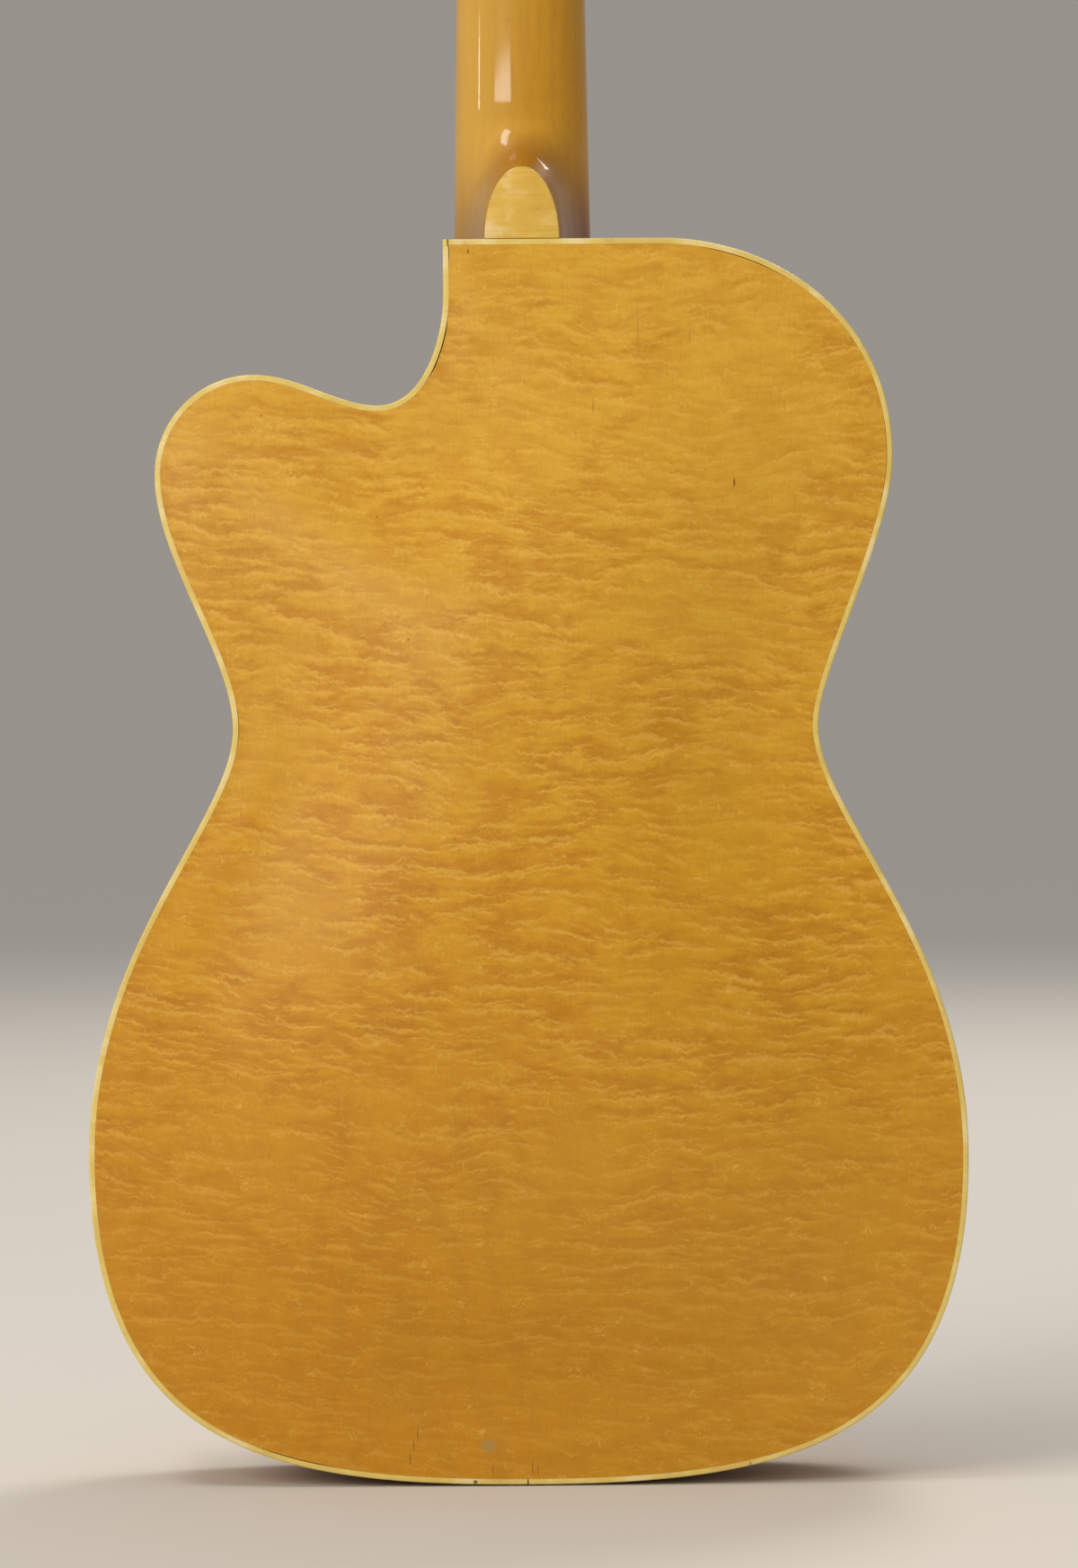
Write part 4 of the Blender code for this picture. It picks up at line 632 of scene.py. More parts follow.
def carved_plate(name, outline, edge_y, out, arch):
    """Carved plate whose rows run from the crown line out to the edge and back inside.

    Each row is set to the arch's height.
    """
    length = TOP_Z - BOTTOM_Z
    share = np.clip((outline[:, 1] - 0.12 * length) / (0.62 * length), 0.0, 1.0)
    crown = np.stack([np.zeros(len(outline)), mix(0.30 * length, 0.68 * length, share)], axis=1)
    edge = inset(outline, sizes().binding_width + 0.00004 + seam_gap(outline, out)[:, None])
    outside = np.linspace(0.0, 1.0, 36)[:, None, None] ** 1.35
    inside = np.linspace(0.0, 1.0, 12)[:, None, None]
    outer = mix(edge[None], crown[None], outside)
    inner = mix(edge[None], crown[None], inside)
    high_out = arch_height(outer, outline, arch)
    high_in = arch_height(inner, outline, arch) - PLATE_THICK
    places = np.concatenate([outer[::-1], inner])
    high = np.concatenate([high_out[::-1], high_in])
    grid = np.stack([places[..., 0], edge_y + out * high, BOTTOM_Z + places[..., 1]], axis=-1)
    grid = np.concatenate([grid, grid[:, :1]], axis=1)
    return grid_mesh(name, [(grid, grid[..., [0, 2]])], sharp=50.0)


def sound_hole(side, bridge_z):
    """Cutters of one f-shaped hole: a slot, and a round eye at each end.

    The slot sways as a sine and is wider in the middle.
    """
    t = np.linspace(-1.0, 1.0, 49)
    x = HOLE_X - HOLE_SWAY * np.sin(1.9 * t)
    z = bridge_z - HOLE_DROP + HOLE_HALF * t
    half = HOLE_WIDTH * (0.24 + 0.26 * np.cos(0.5 * math.pi * t) ** 2)
    half = half + 0.0016 * np.clip(1.0 - np.abs(t) / 0.035, 0.0, 1.0)
    slot = np.concatenate([np.stack([x + half, z], axis=1), np.stack([x - half, z], axis=1)[::-1]])
    angle = np.linspace(0.0, 2.0 * math.pi, 40, endpoint=False)
    ring = np.stack([np.cos(angle), np.sin(angle)], axis=1)
    lower_eye = HOLE_EYE * ring + (x[0] + 0.4 * HOLE_EYE, z[0])
    upper_eye = 0.85 * HOLE_EYE * ring + (x[-1] - 0.4 * HOLE_EYE, z[-1])
    low, high = TOP_Y - 0.01, TOP_Y + 0.03
    return [cutter(part * (side, 1.0), low, high) for part in (slot, lower_eye, upper_eye)]


def cut_away(mesh, cutters, sharp):
    """The mesh less its cutters, by exact Boolean."""
    base = bpy.data.objects.new("base", mesh)
    bpy.context.scene.collection.objects.link(base)
    tools = []
    for cutting in cutters:
        tool = bpy.data.objects.new("tool", cutting)
        bpy.context.scene.collection.objects.link(tool)
        step = base.modifiers.new("cut", "BOOLEAN")
        step.operation = "DIFFERENCE"
        step.object = tool
        tools.append(tool)
    bpy.context.view_layer.update()
    result = bpy.data.meshes.new_from_object(base.evaluated_get(bpy.context.evaluated_depsgraph_get()))
    for used in [base] + tools:
        bpy.data.objects.remove(used, do_unlink=True)
    return shaded(result, sharp)


def rib_strip(name, part, corner_shift, low, high):
    """Bent side: a thin upright section carried along part of the outline.

    The pattern runs with the bend.
    """
    outline, begin, end = part
    inner = inset(outline, RIB_THICK)
    index = np.arange(begin, end + 1) % len(outline)
    out, back = outline[index].copy(), inner[index].copy()
    for line in (out, back):
        line[0, 0] += corner_shift[0]
        line[-1, 0] += corner_shift[1]
    corners = ((out, low), (out, high), (back, high), (back, low), (out, low))
    grid = np.stack([at_level(line, level) for line, level in corners], axis=1)
    grid = capped(grid + (0.0, 0.0, BOTTOM_Z))
    along = walked(out)
    along = np.concatenate([along[:1], along, along[-1:]])
    places = np.stack([grid[..., 1], np.repeat(along[:, None], grid.shape[1], axis=1)], axis=-1)
    return grid_mesh(name, [(grid, places)], sharp=40.0)


def binding_band(name, outline, edge_y, out):
    """Binding: a small section with one scraped edge, carried round the outline and closed."""
    s = sizes()
    turn = np.linspace(0.0, 0.5 * math.pi, 7)
    r = s.binding_round
    rows = [(s.binding_width, 0.0)] + [(r * (1 - math.sin(a)), r * (1 - math.cos(a))) for a in turn]
    rows += [(0.0, BINDING_DEPTH), (s.binding_width, BINDING_DEPTH), (s.binding_width, 0.0)]
    rings = []
    for distance, depth in rows:
        ring = at_level(inset(outline, distance), edge_y - out * depth)
        rings.append(np.vstack([ring, ring[:1]]))
    grid = np.stack(rings) + (0.0, 0.0, BOTTOM_Z)
    around = walked(np.vstack([outline, outline[:1]]))
    across = np.cumsum([0.0] + [math.dist(a, b) for a, b in zip(rows[:-1], rows[1:])])
    return grid_mesh(name, [(grid, np.stack(np.meshgrid(around, across), axis=-1))], sharp=40.0)


# Neck forms

def neck_half(along):
    """Half width of the neck at a distance from the nut."""
    s = sizes()
    return mix(s.nut_half, s.joint_half, np.asarray(along, float) / JOINT)


def cap_half(share):
    """Half width of the heel cap: a half ellipse over the share of its length from the body to the tip."""
    return HEEL_CAP_HALF * np.sqrt(np.maximum(1.0 - CAP_FULLNESS * np.asarray(share, float) ** 2, 0.0))


def head_half(up):
    """Half width of the headstock past the bend: an eased flare, a slight taper and a round crown."""
    up = np.asarray(up, float)
    wide = mix(neck_half(-BREAK), HEAD_HALF, ease(up / HEAD_FLARE))
    wide = wide - 0.0025 * np.maximum(up - HEAD_FLARE, 0.0) / HEAD_LENGTH
    crown = np.maximum(up - CROWN_START, 0.0) / HEAD_CROWN
    return wide * np.sqrt(np.maximum(1.0 - 0.42 * crown ** 2.4, 0.0))


def crown_rows(start, count):
    """Distances past the bend of rows up the headstock's crown, which lie closer together at its tip."""
    return CROWN_START + HEAD_CROWN * np.sin(np.linspace(start, 0.5 * math.pi, count))


def heel_depth(x, along, plain, full, into):
    """Depth of neck and heel below the glue plane at places across and along them.

    The heel is the cap's outline grown in size. From the cap's edge to the neck's edge its depth falls
    with the 0.45th power of the growth over the nose and the 0.59th power over the cheeks. It meets the
    neck's round back in a smooth maximum, half of a + b + sqrt((a - b)^2 + r^2), whose blend r shrinks
    to nothing at the neck's edges.
    """
    half = neck_half(along)
    back = plain * np.maximum(1.0 - (np.abs(x) / half) ** 2.35, 0.0) ** 0.476
    left = CAP_FULLNESS * ((JOINT - along) / HEEL_CAP_LENGTH) ** 2
    growth = np.sqrt((x / HEEL_CAP_HALF) ** 2 + left)
    edge = np.sqrt((half / HEEL_CAP_HALF) ** 2 + left)
    out = np.clip((growth - 1.0) / (edge - 1.0), 0.0, 1.0)
    cheek = (x / HEEL_CAP_HALF) ** 2 / growth ** 2
    heel = full * (1.0 - out ** mix(0.45, 0.59, cheek))
    blend = 0.011 * ease(1.6 * into) * np.sqrt(np.maximum(1.0 - (x / half) ** 2, 0.0))
    return np.minimum(0.5 * (back + heel + np.sqrt((back - heel) ** 2 + blend ** 2)), full)


def neck_grid():
    """Neck, heel and headstock: rows across the back of neck and heel, then the headstock's sections.

    The points of a row lie closer together beside the cap's edge, where the heel is steepest, and at the
    neck's edges. The headstock's sections are squarer.
    """
    tilt = math.tan(NECK_ANGLE)
    end, tip = JOINT - FIT / math.cos(NECK_ANGLE), JOINT - HEEL_CAP_LENGTH
    nose = np.sin(np.linspace(0.5 * math.pi, 0.0, 56))[1:]
    along = np.concatenate([mix(end, tip, 1.0 - np.linspace(1.0, 0.0, 30) ** 1.6), mix(HEEL_START, tip, nose),
                            np.linspace(HEEL_START, 0.0, 16)[1:]])[:, None]
    into = np.clip((along - HEEL_START) / (tip - HEEL_START), 0.0, 1.0)
    heel = ease(into)
    reach = along * math.sin(NECK_ANGLE) - BACK_Y - HEEL_CAP_THICK - 0.0001
    full = reach / (math.cos(NECK_ANGLE) + heel * tilt * math.sin(NECK_ANGLE))
    plain = mix(NECK_DEPTH_NUT, NECK_DEPTH_BODY, along / JOINT)
    u = np.linspace(-1.0, 1.0, 161)[None, :]
    middle = 0.2
    inner = np.where(along > tip, cap_half(np.clip((JOINT - along) / HEEL_CAP_LENGTH, 0.0, 1.0)),
                     mix(cap_half(1.0), middle * neck_half(along), ease((tip - along) / 0.018)))
    outer = np.clip((np.abs(u) - middle) / (1.0 - middle), 0.0, 1.0)
    outer = mix(outer ** 1.7, 1.0 - (1.0 - outer) ** 2.1, outer)
    x = np.sign(u) * mix(inner * np.minimum(np.abs(u) / middle, 1.0), neck_half(along), outer)
    deep = heel_depth(x, along, plain, full, into)
    neck = np.stack([x, -deep, -along + heel * tilt * deep], axis=-1)

    angle = math.pi * (1.0 + 0.5 * (u + 1.0))
    up = np.concatenate([np.linspace(0.0, HEAD_FLARE, 14), np.linspace(HEAD_FLARE, CROWN_START, 5)[1:],
                         crown_rows(0.0, 12)[1:]])[:, None]
    square = mix(0.85, 0.10, ease(up / 0.024))
    deep = mix(NECK_DEPTH_NUT * 0.95, HEAD_THICK, ease(up / (HEAD_FLARE * 0.9)))
    c, s = np.cos(angle), np.sin(angle)
    head_x = head_half(up) * np.sign(u) * np.abs(c) ** square
    head_y = -deep * np.abs(s) ** square
    head = placed(np.stack([head_x, head_y, np.broadcast_to(up, head_x.shape)], axis=-1),
                  lean(HEAD_ANGLE, (0.0, 0.0, BREAK)))
    grid = np.concatenate([neck, head])
    grid = capped(np.concatenate([grid, grid[:, :1]], axis=1))
    return grid, grid[..., [0, 2]]


def board_level(x):
    """Level of the fingerboard over the neck's plane: its thickness less x squared over twice the radius."""
    return BOARD_THICK + FIT - x ** 2 / (2.0 * BOARD_RADIUS)


def fret_place(number):
    """Distance of a fret from the nut: the scale length less its halving every twelve frets."""
    return sizes().scale * (1.0 - 2.0 ** (-number / 12.0))


def board_grid():
    """Fingerboard from the nut to its end: flat below and rounded above, with eased edges."""
    length = fret_place(sizes().frets) + BOARD_END
    along = np.array([0.0, 0.0004, length - 0.0006, length])
    drop = np.array([0.0002, 0.0, 0.0, 0.0004])
    share = np.linspace(-1.0, 1.0, 33)
    rows = []
    for a, d in zip(along, drop):
        half = float(neck_half(a)) - d
        x = share * half
        top = board_level(x) - d - 0.0004 * np.maximum(np.abs(share) - 0.975, 0.0) / 0.025
        xs = np.concatenate([x, [half, -half, -half]])
        ys = np.concatenate([top, [FIT, FIT, top[0]]])
        rows.append(np.stack([xs, ys, np.full(len(xs), -a)], axis=1))
    grid = capped(np.stack(rows))
    return grid, grid[..., [0, 2]]


def fret_grids():
    """Frets: a half-round crown of 2.4 mm carried across the board's curve, with filed ends."""
    grids = []
    for number in range(1, sizes().frets + 1):
        along = fret_place(number)
        half = float(neck_half(along)) - 0.0003
        x = np.concatenate([[-1.0, -0.992, -0.98], np.linspace(-0.97, 0.97, 15), [0.98, 0.992, 1.0]]) * half
        high = FRET_HEIGHT * np.concatenate([[0.1, 0.6, 0.9], np.ones(15), [0.9, 0.6, 0.1]])
        turn = np.linspace(0.0, math.pi, 9)
        level = board_level(x)[:, None] + high[:, None] * np.sin(turn)[None] ** 0.8
        across = np.broadcast_to(-along + FRET_HALF_WIDE * np.cos(turn)[None], level.shape)
        rows = np.stack([np.broadcast_to(x[:, None], level.shape), level, across], axis=-1)
        under = rows[:, ::-1].copy()
        under[..., 1] = board_level(x)[:, None] - 0.0003
        grid = capped(np.concatenate([rows, under, rows[:, :1]], axis=1))
        grids.append((grid, grid[..., [0, 2]]))
    return grids


def dot_grid(x, along, radius):
    """Position dot: a disc laid on the board's curve."""
    r = np.array([0.0, 0.6, 0.94, 1.0, 1.0])[:, None] * radius
    rise = np.array([0.00006, 0.00006, 0.00005, 0.00001, -0.0004])[:, None]
    angle = np.linspace(0.0, 2.0 * math.pi, 33)[None]
    px = x + r * np.cos(angle)
    pz = -along + r * np.sin(angle)
    grid = np.stack([px, board_level(px) + rise, pz], axis=-1)
    return grid, np.stack([px, pz], axis=-1)


# Small metal parts

def gear_swell(level, angle, radius):
    """Teeth round a gear: the blank's rim follows a trapezium that turns with the worm's lead."""
    lead = GEAR_PITCH / (2.0 * math.pi * WORM_RADIUS)
    phase = (angle + 0.5 * math.pi - (level - WORM_Y) * lead / GEAR_RADIUS) * GEAR_TEETH / (2.0 * math.pi)
    off = np.abs(phase - np.round(phase))
    tooth = np.clip((0.72 * TOOTH_FILL - off) / (0.42 * TOOTH_FILL), 0.0, 1.0)
    toothed = GEAR_RADIUS - TOOTH_DEDENDUM + (TOOTH_ADDENDUM + TOOTH_DEDENDUM) * tooth
    return np.where(radius > 1.01 * GEAR_RADIUS, toothed * (radius / GEAR_BLANK), radius)


def post_grid():
    """String post: stub, toothed wheel, boss and a stem that narrows where the string winds."""
    low, high = WORM_Y - GEAR_THICK / 2, WORM_Y + GEAR_THICK / 2
    top = FIT + VENEER_THICK + POST_HEIGHT
    face = FIT + VENEER_THICK
    wheel, stem = GEAR_BLANK, 0.9 * POST_RADIUS
    profile = [(low - 0.0013, 0.0019), (low - 0.0011, 0.0022), (low, 0.0022), (low, 0.0040),
               (low, 0.94 * wheel), (low + 0.0003, wheel), (WORM_Y, wheel), (high - 0.0003, wheel),
               (high, 0.94 * wheel), (high, 0.0042), (high, POST_RADIUS), (face + 0.0030, POST_RADIUS),
               (face + 0.0036, stem), (top - 0.0016, stem), (top - 0.0010, POST_RADIUS),
               (top - 0.0004, POST_RADIUS), (top - 0.0001, stem), (top, 0.7 * POST_RADIUS)]
    return lathe(profile, 10 * GEAR_TEETH, swell=gear_swell)


def worm_swell(level, angle, radius):
    """Thread of the worm: the radius rises where the turn round the shaft meets the travel along it."""
    turned = np.arctan2(np.cos(angle), np.sin(angle))
    phase = level / GEAR_PITCH - (turned + math.pi) / (2.0 * math.pi)
    off = np.abs(phase - np.round(phase))
    thread = np.clip(((TOOTH_FILL + 0.13) / 2 - off) / 0.13, 0.0, 1.0)
    root = WORM_RADIUS - TOOTH_DEDENDUM
    cut = root + (TOOTH_ADDENDUM + TOOTH_DEDENDUM) * thread
    return np.where(np.abs(radius - root) < 1e-9, cut, radius)


def worm_grid(start):
    """Key shaft along X: bearing ends, two collars and the worm between them."""
    half = WORM_TURNS * GEAR_PITCH / 2.0
    root = WORM_RADIUS - TOOTH_DEDENDUM
    outer = half + COLLAR + FIT + EAR_THICK
    collar = 1.25 * root
    # The thread leaves alone what is a little off its root.
    plain = 0.999 * root
    profile = [(-outer - 0.0006, 0.8 * SHAFT_RADIUS), (-outer - 0.0004, SHAFT_RADIUS),
               (-half - COLLAR, SHAFT_RADIUS), (-half - COLLAR, collar), (-half, collar), (-half, plain)]
    profile += [(level, root) for level in np.linspace(-half + 0.0002, half - 0.0002, 72)]
    profile += [(half, plain), (half, collar), (half + COLLAR, collar), (half + COLLAR, SHAFT_RADIUS),
                (start + 0.004, SHAFT_RADIUS)]
    return lathe(profile, 48, axis=0, swell=worm_swell)


def button_grid(start):
    """Tuner button along X: oval sections through set widths, swelling from the shaft to a rounded grip."""
    rows = spline([(0.0, 0.30, 0.52), (0.10, 0.38, 0.62), (0.30, 0.84, 0.84), (0.58, 1.0, 1.0),
                   (0.85, 0.80, 0.84), (0.97, 0.42, 0.46), (1.0, 0.12, 0.15)], 40)
    angle = np.linspace(0.0, 2.0 * math.pi, 41)[None]
    x = start + BUTTON_LENGTH * np.clip(rows[:, :1], 0.0, 1.0) + 0.0 * angle
    y = BUTTON_HALF_THICK * rows[:, 2:3] * np.sign(np.sin(angle)) * np.abs(np.sin(angle)) ** 0.9
    z = BUTTON_HALF_WIDE * rows[:, 1:2] * np.cos(angle)
    grid = capped(np.stack([x, y, z], axis=-1))
    return grid, grid[..., [0, 2]]


def mirror_x(grid):
    """Left-hand copy of a grid."""
    return grid[0] * (-1.0, 1.0, 1.0), grid[1]


def rim_swell(level, angle, radius):
    """Knurled rim of a thumbwheel: its radius is drawn in by a wave of ridges."""
    ridge = 0.5 + 0.5 * np.cos(WHEEL_RIDGES * angle)
    return np.where(radius > WHEEL_RADIUS - 1e-6, radius - RIDGE_DEPTH * ridge, radius)


def screw_mesh(name, places, radius, matrix, outward=1.0):
    """Round-headed screws along Y with a slot: a dome whose middle band is pressed in."""
    r = np.array([0.0, 0.25, 0.5, 0.72, 0.88, 1.0, 1.0])[:, None] * radius
    high = np.array([0.52, 0.50, 0.44, 0.34, 0.2, 0.0, -0.5])[:, None] * radius
    angle = np.linspace(0.0, 2.0 * math.pi, 49)[None]
    grids = []
    for x, y, z in places:
        px, pz = r * np.cos(angle), r * np.sin(angle)
        groove = (np.abs(px * 0.9 + pz * 0.44) < 0.16 * radius) & (high > 0.0)
        level = np.where(groove, high * 0.35, high)
        grid = np.stack([x + px, y + outward * level, z + pz], axis=-1)
        grids.append((grid, np.stack([px, pz], axis=-1)))
    return grid_mesh(name, grids, sharp=30.0, matrix=matrix)


def tuner_heights():
    """Distances of the three tuners of one side past the bend."""
    return [TUNER_FIRST + TUNER_PITCH * i for i in range(3)]


# Strings

def string_x(number, spread):
    """Sideways place of a string, bass to treble."""
    return spread * (0.5 - number / 5.0)


def crown_level(x, s):
    """Level of the saddle under a string in the room."""
    local = np.array([[x, STRING_RISE - x * x / (2.0 * BOARD_RADIUS), -s.scale]])
    return placed(local, NECK)[0, 1]


def saddle_z():
    """Height of the saddle in the room."""
    return -sizes().scale * math.cos(NECK_ANGLE) + STRING_RISE * math.sin(NECK_ANGLE)


def crossbar_middle():
    """Level and height of the middle of the tailpiece's crossbar."""
    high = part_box("tailpiece_trapeze")[1]
    return high.y - CROSSBAR_THICK / 2, high.z - CROSSBAR_WIDTH / 2


def string_path(number, post_x, post_up):
    """Path of a string and its radius at each point.

    It runs from the ball end over the crossbar, the saddle and the nut, then in a helix round its post.
    """
    s = sizes()
    radius = STRING_RADII[number]
    tail, bridge, nut = (string_x(number, spread) for spread in STRING_SPREADS)
    bar_y, bar_z = crossbar_middle()
    slot_y = bar_y + CROSSBAR_THICK / 6 + FIT + radius
    ball = bar_z - CROSSBAR_WIDTH / 2 - FIT
    seat = crown_level(bridge, s) + 0.35 * radius + FIT / 3
    levels = [ball - BALL_LENGTH - 0.0004, ball - BALL_LENGTH, ball - 0.0005, ball, bar_z + 0.0044]
    start = [(tail, slot_y, level) for level in levels]
    start += [(bridge, seat, saddle_z() - 0.0014), (bridge, seat, saddle_z() + 0.0014)]
    nut_y = BOARD_THICK + FIT + NUT_FLOOR + FIT + radius
    start += [tuple(placed(np.array([nut, nut_y, z]), NECK)) for z in (0.1 * NUT_THICK, 0.9 * NUT_THICK)]
    side = math.copysign(1.0, post_x)
    back = np.linalg.inv(HEAD)
    leave = back[:3, :3] @ np.array(start[-1]) + back[:3, 3]
    reach = POST_RADIUS + FIT + radius
    dx, dz = side * leave[0] - abs(post_x), leave[2] - post_up
    touch = math.atan2(dz, dx) - math.acos(reach / math.hypot(dx, dz))
    hole_y = FIT + VENEER_THICK + POST_HEIGHT - STRING_HOLE_DROP
    start_y = hole_y - (WINDING_TURNS + 0.35) * (2.0 * radius + WINDING_GAP)
    sweep = 2.0 * math.pi * WINDING_TURNS + touch % (2.0 * math.pi)
    share = np.linspace(0.0, 1.0, 90)
    angle = touch - sweep * share
    coil = np.stack([side * (abs(post_x) + reach * np.cos(angle)), mix(start_y, hole_y, share),
                     post_up + reach * np.sin(angle)], axis=1)
    tuck = np.array([(side * (abs(post_x) + POST_RADIUS * a), hole_y, post_up) for a in (0.8, 0.1)])
    path = np.vstack([np.array(start), placed(coil, HEAD), placed(tuck, HEAD)])
    radii = np.full(len(path), radius)
    radii[1:3] = BALL_RADIUS
    return path, radii


# Materials

# Settings that many nodes share: soft ends, mixed colours and products.
SOFT = {"interpolation_type": "SMOOTHSTEP"}
COLOURS = {"data_type": "RGBA", "out": 2}
TIMES = {"operation": "MULTIPLY"}
TIMES_PLUS = {"operation": "MULTIPLY_ADD"}

# Inputs that many noises share. Their scale is one, since their places are already counted in features.
EVEN = {"Scale": 1.0}
SIMPLE = {"Scale": 1.0, "Detail": 1.0}
LINED = {"Scale": 1.0, "Detail": 3.0}
CLOUDY = {"Scale": 1.0, "Detail": 3.0, "Roughness": 0.6}


def add(tree, kind, *values, out=0, stops=(), **settings):
    """Adds a node with its settings, constants and links; returns one of its outputs.

    Values go to its inputs in order, and those in a dict to the inputs that it names. Stops are the
    places and colours of a colour ramp. A colour is a hex code or linear.
    """
    made = tree.nodes.new("ShaderNode" + kind)
    for key, value in settings.items():
        setattr(made, key, value)
    for index, (at, shade) in enumerate(stops):
        stop = made.color_ramp.elements[index] if index < 2 else made.color_ramp.elements.new(at)
        stop.position = at
        stop.color = rgba(shade)
    inputs = {}
    for index, value in enumerate(values):
        inputs.update(value if isinstance(value, dict) else {index: value})
    for key, value in inputs.items():
        socket = made.inputs[key]
        if isinstance(value, bpy.types.NodeSocket):
            tree.links.new(value, socket)
        else:
            socket.default_value = rgba(value) if socket.type == "RGBA" else value
    return made.outputs[out]


def new_material(name, shade, roughness, ior=1.5, metallic=0.0, coat=0.0, coat_roughness=0.1, specular=0.5):
    """Material whose Principled shader has a real surface's typical values; returns it and its tree."""
    material = bpy.data.materials.new(name)
    material.use_nodes = True
    material.diffuse_color = rgba(shade)
    values = {"Base Color": rgba(shade), "Roughness": roughness, "Metallic": metallic, "IOR": ior,
              "Coat Weight": coat, "Coat Roughness": coat_roughness, "Specular IOR Level": specular}
    for key, value in values.items():
        material.node_tree.nodes["Principled BSDF"].inputs[key].default_value = value
    return material, material.node_tree


def dress(material, ground, layers=(), roughness=None, relief=None):
    """Finishes a material and returns it.

    Each layer's colour is laid over the ground by its share. Relief is a height, its depth in metres
    and its strength.
    """
    tree = material.node_tree
    shader = tree.nodes["Principled BSDF"]
    for share, shade in layers:
        ground = add(tree, "Mix", {0: share, 6: ground, 7: shade}, **COLOURS)
    tree.links.new(ground, shader.inputs["Base Color"])
    if roughness is not None:
        tree.links.new(roughness, shader.inputs["Roughness"])
    if relief is not None:
        height, depth, strength = relief
        bump = add(tree, "Bump", {"Height": height, "Distance": depth, "Strength": strength})
        tree.links.new(bump, shader.inputs["Normal"])
    return material


def grain_places(tree, across, along):
    """Place on a piece's Grain map, counted in features of a given size across and along the grain."""
    places = add(tree, "UVMap", uv_map="Grain")
    return add(tree, "Mapping", {"Vector": places, "Scale": (1.0 / across, 1.0 / along, 1.0)})


def room_places(tree, across, deep, high):
    """Place in the room, counted in features of a given size."""
    places = add(tree, "TexCoord", out="Object")
    return add(tree, "Mapping", {"Vector": places, "Scale": (1.0 / across, 1.0 / deep, 1.0 / high)})


def mix_colour(a, b, share):
    """Linear colour part of the way between two."""
    return tuple(x + (y - x) * share for x, y in zip(rgba(a)[:3], rgba(b)[:3]))


def spots(tree, marks):
    """Share of wear marks at set places of the room.

    Each mark is an ellipse: x, height over the body's bottom, half width, half height and strength.
    """
    places = add(tree, "TexCoord", out="Object")
    total = 0.0
    for x, z, wide, tall, strength in marks:
        centred = add(tree, "Mapping", {"Vector": places,
                                        "Location": (-x / wide, 0.0, -(BOTTOM_Z + z) / tall),
                                        "Scale": (1.0 / wide, 0.0, 1.0 / tall)})
        far = add(tree, "VectorMath", centred, out="Value", operation="LENGTH")
        mark = add(tree, "MapRange", far, 0.45, 1.0, strength, 0.0, **SOFT)
        total = add(tree, "Math", mark, total, operation="MAXIMUM")
    return total


# Nicks, checks and worn places of the back
BACK_MARKS = (
    (0.0843, 0.4012, 0.0005, 0.0024, 0.80), (-0.0466, 0.3392, 0.0006, 0.0007, 0.75),
    (-0.1051, 0.4297, 0.0005, 0.0008, 0.5), (-0.0589, 0.3886, 0.0005, 0.0007, 0.45),
    (-0.0217, 0.4950, 0.0005, 0.0012, 0.75), (0.0280, 0.4320, 0.0004, 0.0052, 0.32),
    (0.0460, 0.4640, 0.0003, 0.0150, 0.22), (0.0670, 0.4600, 0.0004, 0.0036, 0.28),
    (0.0012, 0.4650, 0.0003, 0.0060, 0.20), (-0.0454, 0.0210, 0.0004, 0.0030, 0.5),
    (-0.0471, 0.0160, 0.0004, 0.0034, 0.55), (-0.0484, 0.0110, 0.0004, 0.0028, 0.5),
    (-0.1186, 0.0173, 0.0022, 0.0005, 0.5), (0.0006, 0.0070, 0.0004, 0.0034, 0.5),
    (0.0028, 0.0060, 0.0003, 0.0030, 0.4), (-0.0153, 0.0060, 0.0004, 0.0030, 0.45),
)

# Joins and chips of the binding
BINDING_MARKS = (
    (-0.0224, 0.0012, 0.0012, 0.0011, 0.8), (-0.0013, 0.0010, 0.0005, 0.0022, 0.85),
    (-0.0298, 0.4990, 0.0005, 0.0030, 0.8), (-0.0345, 0.4800, 0.0022, 0.0007, 0.5),
    (0.0880, 0.0074, 0.0007, 0.0020, 0.45), (0.1764, 0.1830, 0.0030, 0.0008, 0.35),
)


